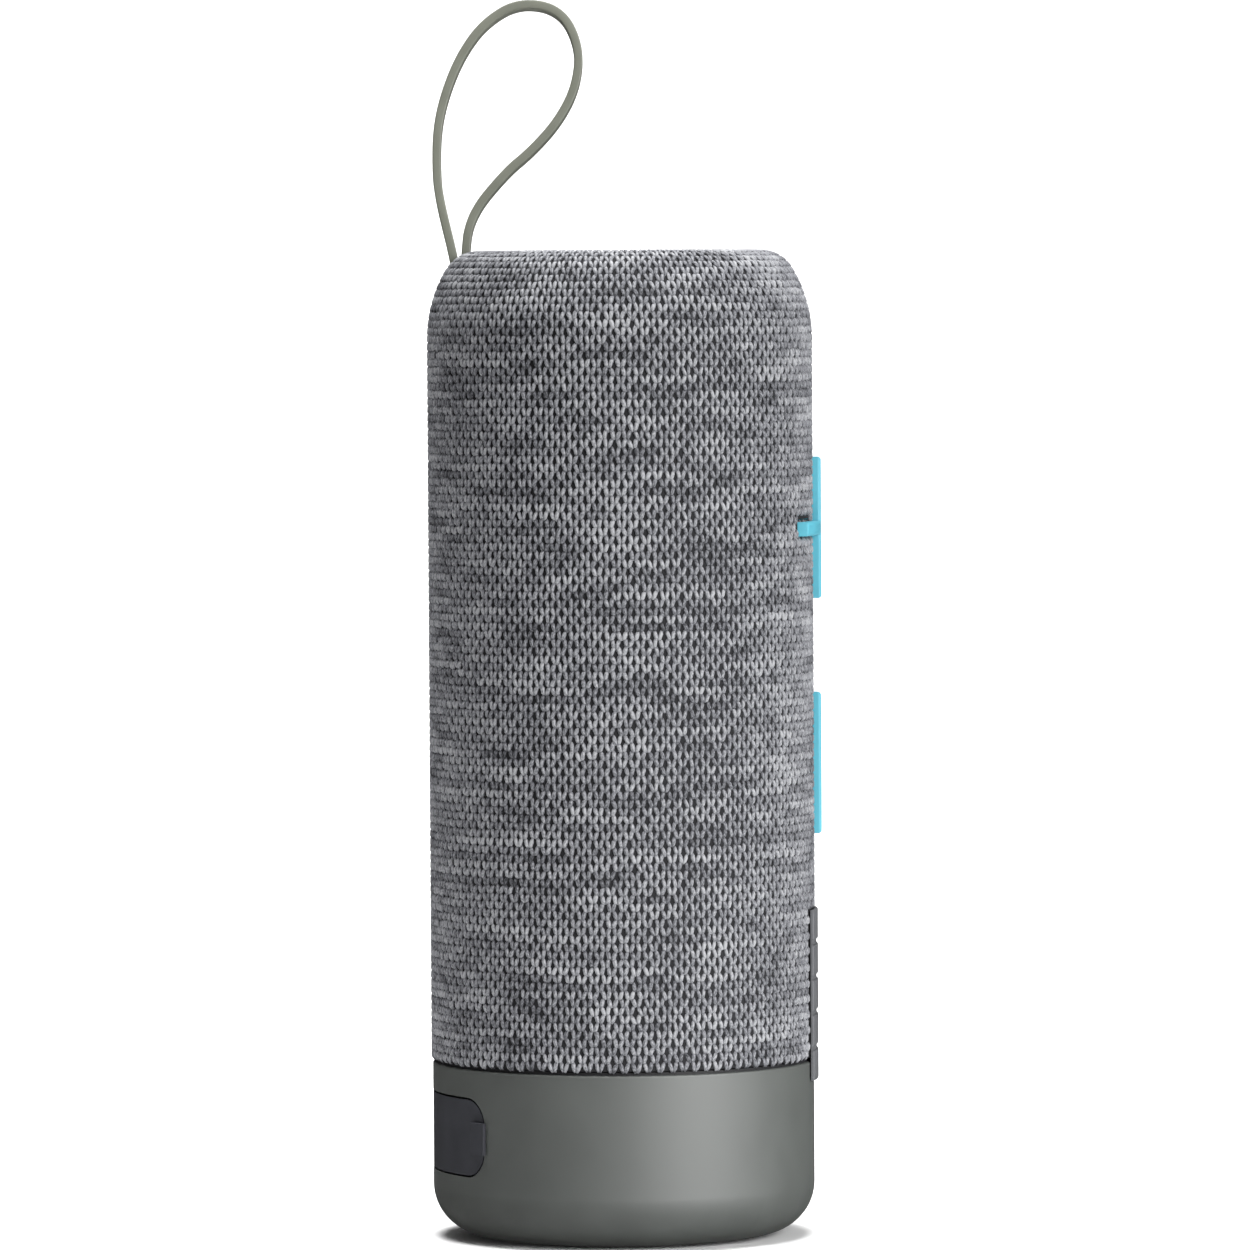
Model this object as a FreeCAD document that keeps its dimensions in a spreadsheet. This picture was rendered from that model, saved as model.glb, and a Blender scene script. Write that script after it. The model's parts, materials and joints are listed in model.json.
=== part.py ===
import FreeCAD, Part
import math
import os
import re

import Sketcher
from FreeCAD import Placement, Rotation, Vector

# Upright cylindrical bluetooth speaker, in millimetres.
# +Z is up and the origin is on the axis, in the plane that the foot pad stands on.
# The volume buttons and the badge face -Y, the port cover and the strap are on the +Y side,
# and the drivers and passive radiators fire along -X (left) and +X (right).

SIZES = {
    # whole body
    "body_dia": 68, "body_height": 174, "layer_gap": 0.2, "seam_gap": 0.5,
    "shoulder_wide": 9, "shoulder_tall": 15.5, "crest_round": 6.5,
    # base
    "base_height": 30.9, "base_inset": 0.25, "base_round": 9, "base_wall": 2.2, "base_floor": 3.6,
    "base_lift": 0.3, "base_edge": 0.4, "base_inner_round": 6, "foot_dia": 47, "foot_thick": 2,
    "foot_round": 0.6,
    # long screws that hold base, board and chassis together
    "post_circle": 20, "post_dia": 6, "base_screw_dia": 3, "base_head_dia": 5.5, "base_head_tall": 2.3,
    "board_level": 15.9, "board_thick": 1.6, "board_dia": 57.2, "pilot_deep": 9,
    # charging and audio ports with their cover
    "port_level": 19, "port_tall": 14, "port_half_angle": 43.8, "port_corner": 4.8, "cover_gap": 0.35,
    "cover_skin": 1.8, "cover_lift": 0.05, "tab_tall": 5.6, "tab_proud": 0.9, "tab_sweep": 4,
    "tab_over": 1.4, "tab_lift": 0.15, "hinge_angle": 44.6,
    "knuckle_dia": 1.8, "knuckle_tall": 5, "pin_dia": 0.9, "pin_fit": 0.05, "pin_grip": 1,
    "notch_dia": 3.6, "notch_over": 2.4, "bezel_thick": 2.3, "bezel_gap": 0.05, "bezel_half_angle": 48.8,
    "bezel_low": 10.2,
    "usb_across": 8, "usb_wide": 8.94, "usb_tall": 3.2, "usb_wall": 0.32, "usb_deep": 6.2,
    "usb_back": 1, "tongue_thick": 0.7, "tongue_gap": 1.1,
    "aux_across": 8, "aux_bore": 3.6, "aux_deep": 14, "aux_nose": 5.8, "aux_wide": 6, "aux_tall": 5,
    "aux_floor": 0.8, "plug_pad": 1.2, "socket_back": 0.1, "hole_gap": 0.15,
    # parts on the main board, and how far a cutting tool reaches past what it cuts
    "module_across": -1, "module_forward": 9, "module_long": 15, "module_wide": 11,
    "module_thick": 0.8, "can_across": -2.4, "can_long": 11, "can_wide": 9.4, "can_tall": 1.5,
    "chip_across": -2, "chip_back": 5, "chip_side": 7, "chip_tall": 0.9, "inductor_back": 4,
    "inductor_side": 5, "inductor_tall": 3, "capacitor_across": -14, "capacitor_dia": 5,
    "capacitor_tall": 7, "cut_long": 20,
    # layers of the tall body, from the outside in
    "fabric_thick": 1.2, "grille_thick": 1.3, "chassis_gap": 0.3, "chassis_wall": 2.2,
    "chassis_plug": 2.5, "chassis_flange": 0.5, "flange_back": 0.6,
    "slot_wide": 2.6, "slot_tall": 36, "slot_count": 9, "slot_sweep": 63.2,
    # drivers and passive radiators
    "driver_drop": 52, "radiator_drop": 98, "seat_out": 21.5, "seat_thick": 2.5, "seat_tall": 42,
    "unit_square": 38, "unit_gap": 0.3, "unit_flange": 1.5, "unit_open": 35.2, "unit_screw_pitch": 33,
    "gasket_thick": 0.4, "basket_dia": 36.8, "basket_deep": 9, "cone_dia": 27, "cone_thick": 0.6,
    "cone_travel": 1.8, "plate_travel": 2.5,
    "coil_dia": 10.8, "coil_wall": 0.4, "magnet_dia": 23, "magnet_hole": 13, "magnet_tall": 4.4,
    "yoke_plate": 1.6, "pole_dia": 9.4, "roll_gap": 0.3, "roll_thick": 0.5, "plate_thick": 1.2,
    "plate_weight": 3, "small_screw_dia": 2, "small_head_dia": 3.6, "small_head_tall": 1.2,
    # battery
    "cell_dia": 18.4, "cell_tall": 65, "cell_back": 8, "cell_lift": 2.1, "cell_gap": 0.1,
    "cell_edge": 0.8, "cell_button": 6, "cradle_wide": 17, "cradle_tall": 9, "cradle_inset": 6,
    "spine_wide": 7, "spine_deep": 3, "guard_wide": 6, "guard_long": 12, "guard_thick": 1,
    # buttons on the front
    "plus_drop": 49.1, "minus_drop": 90.7, "bar_long": 25, "bar_wide": 2.5, "cross_half": 12.9,
    "plus_proud": 1.45, "minus_proud": 1.3, "key_gap": 0.3, "key_edge": 0.6, "key_press": 0.35,
    "key_deep": 0.9, "lip_wide": 10, "lip_thick": 0.6, "recess_wide": 14, "recess_floor": 27.4,
    "recess_wall": 2, "recess_reach": 16, "key_board": 1, "switch_side": 5, "switch_tall": 1.1,
    "dome_dia": 2.2, "dome_tall": 0.2,
    # badge
    "badge_drop": 3.4, "badge_tall": 30.1, "badge_half_angle": 13.8, "badge_thick": 0.25,
    "rib_count": 5, "rib_notch": 0.9, "rib_proud": 0.3, "rib_round": 0.25, "peg_dia": 1.6,
    # top
    "lid_thick": 2.3, "lid_inset": 2.8, "lid_boss": 6.4, "lid_screw_dia": 2.5, "lid_head_dia": 4,
    "lid_head_tall": 1.4, "lid_boss_tall": 10, "lid_pilot": 8, "column_pilot": 7,
    "standoff_dia": 5, "standoff_across": 9, "led_side": 1.8, "led_tall": 0.9,
    "cap_wall": 2.2, "trim_dia": 47.2, "trim_gap": 0.2, "trim_sunk": 0.6, "trim_thick": 2.6,
    "trim_edge": 0.6, "cap_floor": 2, "cap_circle": 18, "column_dia": 5.2, "top_board_drop": 12.5,
    "top_board_thick": 1.2, "top_board_wide": 16, "top_board_long": 42, "power_dia": 16,
    "pair_dia": 6, "pair_forward": 16, "light_back": 16, "light_dia": 2.4, "top_proud": 0.3,
    "top_key_thick": 2.3, "power_stem": 5, "pair_stem": 2.8, "clip_over": 1.1, "clip_thick": 0.8,
    # strap
    "strap_wide": 4, "strap_thick": 1.45, "strap_lean": 7.5, "strap_sunk": 2, "slot_inset": 5.85,
    "neck_wide": 4.4, "neck_deep": 3.5, "neck_tall": 9.1, "anchor_wide": 6, "anchor_deep": 3.9,
    "anchor_drop": 12.2, "anchor_tall": 4.7, "strap_pin_dia": 1.8, "strap_pin_long": 10.6,
    "pin_rise": 1.8, "lug_thick": 2, "lug_deep": 3, "lug_tall": 6.7,
}

# The strap's centre line in its own leaning plane, end to end: how far back from the middle of its
# slot, and how high above the level where it enters the slot.
STRAP_ROUTE = [
    (0.65, -2.4), (0.7, -0.4), (3.45, 10.85), (4.0, 15.9), (3.85, 23.8), (2.3, 30.3), (-0.45, 36.9),
    (-4.6, 42.6), (-10.85, 46.3), (-18.2, 44.8), (-21.45, 38.1), (-20.75, 31), (-17.5, 24.75),
    (-12.5, 19.3), (-8.4, 16), (-1.75, 8), (-0.95, -0.4), (-1, -2.4),
]

DIAGONALS = (45, 135, 225, 315)
SIDES = (("left", -1), ("right", 1))

doc = FreeCAD.newDocument("bluetooth_speaker")
sheet = doc.addObject("Spreadsheet::Sheet", "sizes")
for row, (alias, number) in enumerate(SIZES.items(), 1):
    sheet.set(f"A{row}", alias)
    sheet.set(f"B{row}", str(number))
    sheet.setAlias(f"B{row}", alias)
doc.recompute()

# Radii and levels that several pieces share, as expressions of the sheet's sizes.
OUTER = "(body_dia / 2)"
FABRIC_IN = "(body_dia / 2 - fabric_thick)"
GRILLE_OUT = f"({FABRIC_IN} - layer_gap)"
GRILLE_IN = f"({GRILLE_OUT} - grille_thick)"
CHASSIS_OUT = f"({GRILLE_IN} - chassis_gap)"
CHASSIS_IN = f"({CHASSIS_OUT} - chassis_wall)"
BASE_OUT = "(body_dia / 2 - base_inset)"
CELL_LEVEL = "(base_height + cell_lift)"
CELL_END = "(base_height + cell_lift + cell_tall)"
BADGE_LOW = "(base_height - badge_drop)"
BASE_IN = f"({BASE_OUT} - base_wall)"
BASE_FLOOR = "(base_lift + base_floor)"
BOARD_TOP = "(board_level + board_thick)"
SEAM_TOP = "(base_height + seam_gap)"
SHOULDER = "(body_height - shoulder_tall)"
CHASSIS_TOP = f"({SHOULDER} - layer_gap)"
LID_LOW = f"({CHASSIS_TOP} - lid_thick)"
CAP_LEDGE = "(body_height - trim_sunk - trim_thick - layer_gap)"
CAP_UNDER = f"({CAP_LEDGE} - cap_floor)"
COVER_OUT = f"({BASE_OUT} - cover_lift)"
COVER_IN = f"({COVER_OUT} - cover_skin)"
BEZEL_OUT = f"({BASE_IN} - bezel_gap)"
BEZEL_IN = f"({BEZEL_OUT} - bezel_thick)"
AUX_LEVEL = f"({BOARD_TOP} + usb_tall / 2)"
USB_FACE = f"(sqrt({BEZEL_OUT}^2 - (usb_across + usb_wide / 2)^2) - socket_back)"
AUX_FACE = f"(sqrt({BEZEL_OUT}^2 - (aux_across + aux_nose / 2)^2) - socket_back)"
AUX_SHOULDER = f"(sqrt({BEZEL_IN}^2 - (aux_across + aux_wide / 2)^2) - socket_back)"
AUX_END = f"({AUX_FACE} - aux_deep - aux_floor)"
UNIT_FACE = "(seat_out + gasket_thick)"
DRIVER_LEVEL = "(body_height - driver_drop)"
RADIATOR_LEVEL = "(body_height - radiator_drop)"
PLUS_LEVEL = "(body_height - plus_drop)"
MINUS_LEVEL = "(body_height - minus_drop)"
TOP_BOARD = "(body_height - top_board_drop)"
LID_CIRCLE = f"({CHASSIS_IN} - lid_inset)"
SLOT_BACK = "(body_dia / 2 - slot_inset)"
ANCHOR_LOW = "(body_height - anchor_drop)"
PIN_LEVEL = f"({ANCHOR_LOW} + pin_rise)"
KEY_UNDER = "(recess_floor + key_board + switch_tall + dome_tall + key_press + 0.05)"
TOP_KEY_UNDER = f"({TOP_BOARD} + top_board_thick + switch_tall + dome_tall + key_press + 0.05)"


def link(words):
    """Point each size named in an expression at its cell in the sheet."""
    return re.sub(r"[a-z_]+", lambda m: f"sizes.{m[0]}" if m[0] in SIZES else m[0], str(words))


def value(words):
    """The number that an expression of the sheet's sizes gives."""
    return float(sheet.evalExpression(link(words)))


def bind(thing, **places):
    """Tie properties to the sheet. A double underscore stands for a dot."""
    for place, words in places.items():
        thing.setExpression(place.replace("__", "."), link(words))
    return thing


def origin_plane(body, role):
    return next(feature for feature in body.Origin.OriginFeatures if feature.Role == role)


def place(thing, at=("0", "0", "0"), turn=None):
    """Turn a thing and tie its position to the sheet."""
    if turn:
        thing.Placement = Placement(Vector(), turn)
    return bind(thing, Placement__Base__x=at[0], Placement__Base__y=at[1], Placement__Base__z=at[2])


ALONG_X = Rotation(Vector(0, 1, 0), 90)
ALONG_Y = Rotation(Vector(1, 0, 0), -90)
FACING = {-1: Rotation(Vector(0, 0, 1), 180) * ALONG_X, 1: ALONG_X}


def arc_between(start, end, radius):
    """The arc from start to end whose centre is on the left, or on the right if radius < 0."""
    chord = end - start
    middle = (start + end) / 2
    rise = math.sqrt(max(radius * radius - chord.Length ** 2 / 4, 0))
    left = Vector(-chord.y, chord.x, 0).normalize()
    centre = middle + left * math.copysign(rise, radius)
    first, last = (start, end) if radius > 0 else (end, start)
    turn = [math.atan2(p.y - centre.y, p.x - centre.x) for p in (first, last)]
    return Part.ArcOfCircle(Part.Circle(centre, Vector(0, 0, 1), abs(radius)), *turn)


def outline_sketch(body, name, role, outline):
    """A closed sketch through (across, up) points. A third value rounds the way to the next."""
    sketch = body.newObject("Sketcher::SketchObject", name)
    sketch.AttachmentSupport = (origin_plane(body, role), [""])
    sketch.MapMode = "FlatFace"
    points = [Vector(value(corner[0]), value(corner[1]), 0) for corner in outline]
    ends = []
    for number, corner in enumerate(outline):
        start, end = points[number], points[(number + 1) % len(points)]
        radius = value(corner[2]) if len(corner) > 2 else 0
        if radius:
            sketch.addGeometry(arc_between(start, end, radius), False)
        else:
            sketch.addGeometry(Part.LineSegment(start, end), False)
        ends.append((2, 1) if radius < 0 else (1, 2))
    for number, corner in enumerate(outline):
        following = (number + 1) % len(points)
        sketch.addConstraint(Sketcher.Constraint(
            "Coincident", number, ends[number][1], following, ends[following][0]))
        for kind, words in zip(("DistanceX", "DistanceY"), corner):
            dimension = sketch.addConstraint(Sketcher.Constraint(
                kind, -1, 1, number, ends[number][0], value(words)))
            sketch.setExpression(f"Constraints[{dimension}]", link(words))
        if len(corner) > 2:
            dimension = sketch.addConstraint(Sketcher.Constraint(
                "Radius", number, abs(value(corner[2]))))
            sketch.setExpression(f"Constraints[{dimension}]", link(f"abs({corner[2]})"))
    return sketch


def turned(name, outline, at=("0", "0", "0"), turn=None):
    """A body turned round its own Z axis from an outline of (radius, height) points."""
    body = doc.addObject("PartDesign::Body", name)
    sketch = outline_sketch(body, f"{name}_outline", "XZ_Plane", outline)
    revolution = body.newObject("PartDesign::Revolution", f"{name}_turn")
    revolution.Profile = sketch
    revolution.ReferenceAxis = (sketch, ["V_Axis"])
    revolution.Angle = 360
    return place(body, at, turn)


def ring(name, outer, inner, low, high, at=("0", "0", "0"), turn=None):
    outline = [(inner, low), (outer, low), (outer, high), (inner, high)]
    return turned(name, outline, at, turn)


def rod(name, dia, length, at, turn=None):
    """A plain cylinder from its base centre along its own Z axis."""
    cylinder = doc.addObject("Part::Cylinder", name)
    bind(cylinder, Radius=f"({dia}) / 2", Height=length)
    return place(cylinder, at, turn)


def block(name, wide, deep, tall, at):
    """A box centred on a point in X and Y, standing on it in Z."""
    box = doc.addObject("Part::Box", name)
    bind(box, Length=wide, Width=deep, Height=tall)
    return place(box, (f"{at[0]} - ({wide}) / 2", f"{at[1]} - ({deep}) / 2", at[2]))


def merged(name, things):
    fuse = doc.addObject("Part::MultiFuse", name)
    fuse.Shapes = things
    fuse.Refine = True
    return fuse


def minus(name, base, tools):
    """The base with the tools cut out of it."""
    cut = doc.addObject("Part::Cut", name)
    cut.Base = base
    cut.Tool = tools[0] if len(tools) == 1 else merged(f"{name}_tools", tools)
    return cut


def shared(name, first, second):
    common = doc.addObject("Part::Common", name)
    common.Base = first
    common.Tool = second
    return common


def group(name, things):
    """Equal loose pieces kept as one sub-part of separate solids."""
    compound = doc.addObject("Part::Compound", name)
    compound.Links = things
    return compound


def softened(name, base, radius, chosen):
    """The base with a small round on each edge for which chosen(edge) holds."""
    doc.recompute()
    fillet = doc.addObject("Part::Fillet", name)
    fillet.Base = base
    size = value(radius)
    fillet.Edges = [
        (number, size, size) for number, edge in enumerate(base.Shape.Edges, 1) if chosen(edge)]
    return fillet


def sector(name, outer, inner, half_angle, low, tall, middle=90):
    """A piece of a ring, half_angle to each side of the middle direction."""
    wedge = doc.addObject("Part::Cylinder", f"{name}_wedge")
    bind(wedge, Radius=outer, Height=tall, Angle=f"2 * ({half_angle})")
    place(wedge, ("0", "0", low), Rotation(Vector(0, 0, 1), middle - value(half_angle)))
    core = rod(f"{name}_core", f"2 * {inner}", tall, ("0", "0", low))
    return minus(name, wedge, [core])


def rounded_plate(name, tall, half_angle, corner, outer, inner, level):
    """A curved plate at the rear with round corners, half_angle to each side of +Y."""
    straight = f"({half_angle} - asin(({corner}) / {OUTER}) / (1 deg))"
    low, height = f"({level} - ({tall}) / 2 + ({corner}))", f"(({tall}) - 2 * ({corner}))"
    parts = [sector(f"{name}_middle", outer, inner, straight, f"{level} - ({tall}) / 2", tall)]
    ends = []
    for side, sign in SIDES:
        heading = 90 + sign * value(straight)
        turn = Rotation(Vector(0, 0, 1), heading)
        bar = doc.addObject("Part::Box", f"{name}_{side}_bar")
        bind(bar, Length=outer, Width=f"2 * ({corner})", Height=height)
        at = (f"({corner}) * cos({straight})", f"({corner}) * {sign} * sin({straight})", low)
        ends.append(place(bar, at, turn))
        for end, up in (("low", low), ("high", f"({low} + {height})")):
            ends.append(rod(f"{name}_{side}_{end}", f"2 * ({corner})", outer, ("0", "0", up),
                            turn * ALONG_X))
    skin = ring(f"{name}_skin", outer, inner, f"{level} - ({tall})", f"{level} + ({tall})")
    parts.append(shared(f"{name}_ends", merged(f"{name}_bars", ends), skin))
    return merged(name, parts)


def hinge_point():
    """Where the port cover's hinge pin stands, in the middle of the base wall."""
    reach = f"({COVER_OUT} - knuckle_dia / 2)"
    return f"({reach} * sin(hinge_angle))", f"({reach} * cos(hinge_angle))"


def circle_points(circle, angles=DIAGONALS):
    return [(f"{circle} * cos({angle})", f"{circle} * sin({angle})") for angle in angles]


def screws(name, points, under_head, dia, length, head_dia, head_tall, upward):
    """Pan-head screws, all with their heads at one level."""
    pieces = []
    for number, (x, y) in enumerate(points, 1):
        shank_low = under_head if upward else f"{under_head} - ({length})"
        head_low = f"{under_head} - {head_tall}" if upward else under_head
        shank = rod(f"{name}_shank_{number}", dia, length, (x, y, shank_low))
        head = rod(f"{name}_head_{number}", head_dia, head_tall, (x, y, head_low))
        pieces.append(merged(f"{name}_{number}", [shank, head]))
    return group(name, pieces)


def shoulder_arcs(offset, inward):
    """The oval shoulder, offset inwards: two tangent arcs as outline corners, upwards or back."""
    wide, tall, crest = "shoulder_wide", "shoulder_tall", "crest_round"
    long_arc = f"(({wide}^2 + {tall}^2 - 2 * {tall} * {crest}) / (2 * ({wide} - {crest})))"
    share = f"(({long_arc} - {offset}) / ({long_arc} - {crest}))"
    low = (f"{OUTER} - {offset}", SHOULDER)
    joint = (f"{OUTER} - {long_arc} + ({long_arc} - {wide}) * {share}",
             f"{SHOULDER} + ({tall} - {crest}) * {share}")
    high = (f"{OUTER} - {wide}", f"body_height - {offset}")
    long_radius, crest_radius = f"({long_arc} - {offset})", f"({crest} - {offset})"
    if inward:
        return [high + (f"-{crest_radius}",), joint + (f"-{long_radius}",), low]
    return [low + (long_radius,), joint + (crest_radius,), high]


# ---------------------------------------------------------------- base and ports

def foot_pad():
    edge = "(foot_dia / 2)"
    return turned("foot_pad", [
        ("0", "0"), (f"{edge} - foot_round", "0", "foot_round"), (edge, "foot_round"),
        (edge, "foot_thick"), ("0", "foot_thick")])


def port_window():
    return rounded_plate("port_window", "port_tall", "port_half_angle", "port_corner", f"({OUTER} + 1)",
                         f"({BASE_IN} - 2)", "port_level")


def base_cap():
    recess = "(foot_dia / 2 + layer_gap)"
    shell = turned("base_shell", [
        ("0", "foot_thick"), (recess, "foot_thick"), (recess, "base_lift"),
        (f"{BASE_OUT} - base_round", "base_lift", "base_round"),
        (BASE_OUT, "base_lift + base_round"), (BASE_OUT, "base_height - base_edge", "base_edge"),
        (f"{BASE_OUT} - base_edge", "base_height"), (BASE_IN, "base_height"),
        (BASE_IN, f"{BASE_FLOOR} + base_inner_round", "-base_inner_round"),
        (f"{BASE_IN} - base_inner_round", BASE_FLOOR), ("0", BASE_FLOOR)])
    solids = [shell]
    holes = [port_window()]
    for number, (x, y) in enumerate(circle_points("post_circle"), 1):
        solids.append(rod(f"base_post_{number}", "post_dia", f"board_level - {BASE_FLOOR} + 1",
                          (x, y, f"{BASE_FLOOR} - 1")))
        holes.append(rod(f"base_way_{number}", "base_screw_dia + 2 * hole_gap", "board_level",
                         (x, y, "0")))
        holes.append(rod(f"base_sink_{number}", "base_head_dia + 2 * hole_gap",
                         "foot_thick + 0.1 + base_head_tall", (x, y, "0")))
    x, y = hinge_point()
    notch_tall = "(knuckle_tall + 2 * notch_over)"
    holes.append(rod("hinge_notch", "notch_dia", notch_tall, (x, y, f"port_level - {notch_tall} / 2")))
    holes.append(rod("hinge_way", "pin_dia", f"{notch_tall} + 2 * pin_grip",
                     (x, y, f"port_level - {notch_tall} / 2 - pin_grip")))
    return minus("base_cap", merged("base_solid", solids), holes)


def base_screws():
    under_head = "foot_thick + 0.1 + base_head_tall"
    length = f"{BOARD_TOP} + pilot_deep - ({under_head})"
    return screws("base_screws", circle_points("post_circle"), under_head, "base_screw_dia", length,
                  "base_head_dia", "base_head_tall", upward=True)


def port_bezel():
    plate = sector("bezel_plate", BEZEL_OUT, BEZEL_IN, "bezel_half_angle", "bezel_low",
                   "base_height - chassis_plug - layer_gap - bezel_low")
    usb_hole = block("bezel_usb", "usb_wide + 2 * hole_gap", "cut_long", "usb_tall + 2 * hole_gap",
                     ("-usb_across", BEZEL_OUT, f"{BOARD_TOP} - hole_gap"))
    aux_hole = rod("bezel_aux", "aux_nose + 2 * hole_gap", "cut_long",
                   ("aux_across", f"{BEZEL_OUT} - cut_long / 2", AUX_LEVEL), ALONG_Y)
    return minus("port_bezel", plate, [usb_hole, aux_hole])


def flat_tube(name, wide, tall, long, face, level):
    """A round-ended bar that ends at the face and runs inwards, at the charging port."""
    low = f"{level} - ({tall}) / 2"
    middle = block(f"{name}_bar", f"{wide} - ({tall})", long, tall,
                   ("-usb_across", f"{face} - ({long}) / 2", low))
    ends = [rod(f"{name}_{side}", tall, long,
                (f"-usb_across + {sign} * (({wide}) - ({tall})) / 2", f"{face} - ({long})", level),
                ALONG_Y) for side, sign in SIDES]
    return merged(name, [middle] + ends)


def usb_socket():
    shell = flat_tube("usb_shell", "usb_wide", "usb_tall", "usb_deep + usb_back", USB_FACE, AUX_LEVEL)
    mouth = flat_tube("usb_mouth", "usb_wide - 2 * usb_wall", "usb_tall - 2 * usb_wall", "usb_deep",
                      f"{USB_FACE} + 0.01", AUX_LEVEL)
    tongue = block("usb_tongue", "usb_wide - 2 * tongue_gap", "usb_deep - tongue_gap + 0.1",
                   "tongue_thick", ("-usb_across", f"{USB_FACE} - (usb_deep + tongue_gap + 0.1) / 2",
                                    f"{AUX_LEVEL} - tongue_thick / 2"))
    return merged("usb_socket", [minus("usb_hollow", shell, [mouth]), tongue])


def aux_jack():
    body = block("aux_body", "aux_wide", f"{AUX_SHOULDER} - {AUX_END}", "aux_tall",
                 ("aux_across", f"({AUX_SHOULDER} + {AUX_END}) / 2", f"{AUX_LEVEL} - aux_tall / 2"))
    nose = rod("aux_nose_barrel", "aux_nose", f"{AUX_FACE} - {AUX_SHOULDER} + 1",
               ("aux_across", f"{AUX_SHOULDER} - 1", AUX_LEVEL), ALONG_Y)
    bore = rod("aux_bore_hole", "aux_bore", "aux_deep + 1",
               ("aux_across", f"{AUX_FACE} - aux_deep", AUX_LEVEL), ALONG_Y)
    return minus("aux_jack", merged("aux_solid", [body, nose]), [bore])


def main_board():
    disc = rod("board_disc", "board_dia", "board_thick", ("0", "0", "board_level"))
    jack_room = block("board_jack_room", "aux_wide + 2 * hole_gap", "cut_long", "board_thick + 2",
                      ("aux_across", f"{AUX_END} - hole_gap + cut_long / 2", "board_level - 1"))
    holes = [rod(f"board_hole_{number}", "base_screw_dia + 2 * hole_gap", "board_thick + 2",
                 (x, y, "board_level - 1"))
             for number, (x, y) in enumerate(circle_points("post_circle"), 1)]
    return minus("main_board", disc, [jack_room] + holes)


def bluetooth_module():
    carrier = block("module_carrier", "module_long", "module_wide", "module_thick",
                    ("module_across", "-module_forward", BOARD_TOP))
    can = block("module_can", "can_long", "can_wide", "can_tall",
                ("can_across", "-module_forward", f"{BOARD_TOP} + module_thick"))
    return merged("bluetooth_module", [carrier, can])


def amplifier_chip():
    return block("amplifier_chip", "chip_side", "chip_side", "chip_tall",
                 ("chip_across", "chip_back", BOARD_TOP))


def power_inductors():
    return group("power_inductors", [
        block(f"inductor_{number}", "inductor_side", "inductor_side", "inductor_tall",
              (x, "inductor_back", BOARD_TOP))
        for number, x in enumerate(("6", "13"), 1)])


def supply_capacitors():
    return group("supply_capacitors", [
        rod(f"capacitor_{number}", "capacitor_dia", "capacitor_tall", ("capacitor_across", y, BOARD_TOP))
        for number, y in enumerate(("-4", "3"), 1)])


def port_cover():
    tall = "(port_tall - 2 * cover_gap)"
    half_angle = f"(port_half_angle - cover_gap / {OUTER} * 180 / pi)"
    plate = rounded_plate("cover_plate", tall, half_angle, "port_corner - cover_gap", COVER_OUT,
                          COVER_IN, "port_level")
    tab_out = f"({COVER_OUT} + tab_proud)"
    tab_low = "(port_level - tab_tall / 2)"
    tab_root = sector("tab_root", tab_out, f"({COVER_OUT} - cover_skin / 2)", "(tab_sweep / 2)", tab_low,
                      "tab_tall", 90 + value(f"{half_angle} - tab_sweep / 2 - cover_gap"))
    tab_tip = sector("tab_tip", tab_out, f"({BASE_OUT} + tab_lift)", "((tab_sweep + tab_over) / 2)",
                     tab_low, "tab_tall", 90 + value(f"{half_angle} - (tab_sweep - tab_over) / 2"))
    x, y = hinge_point()
    knuckle = rod("cover_knuckle", "knuckle_dia", "knuckle_tall", (x, y, "port_level - knuckle_tall / 2"))
    bore = rod("cover_bore", "pin_dia + 2 * pin_fit", "knuckle_tall + 2",
               (x, y, "port_level - knuckle_tall / 2 - 1"))
    usb_pad = block("cover_usb_pad", "usb_wide - 2 * plug_pad", "plug_pad", "usb_tall - 1.4",
                    ("-usb_across", f"{USB_FACE} + 0.7", f"{AUX_LEVEL} - usb_tall / 2 + 0.7"))
    aux_pad = rod("cover_aux_pad", "aux_bore - 1", "plug_pad",
                  ("aux_across", f"{AUX_FACE} + 0.1", AUX_LEVEL), ALONG_Y)
    solid = merged("cover_solid", [plate, tab_root, tab_tip, knuckle, usb_pad, aux_pad])
    return minus("port_cover", solid, [bore])


def flap_pin():
    x, y = hinge_point()
    length = "(knuckle_tall + 2 * notch_over + 2 * pin_grip)"
    return rod("flap_pin", "pin_dia", length, (x, y, f"port_level - {length} / 2"))


# ---------------------------------------------------------------- tall body

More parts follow.
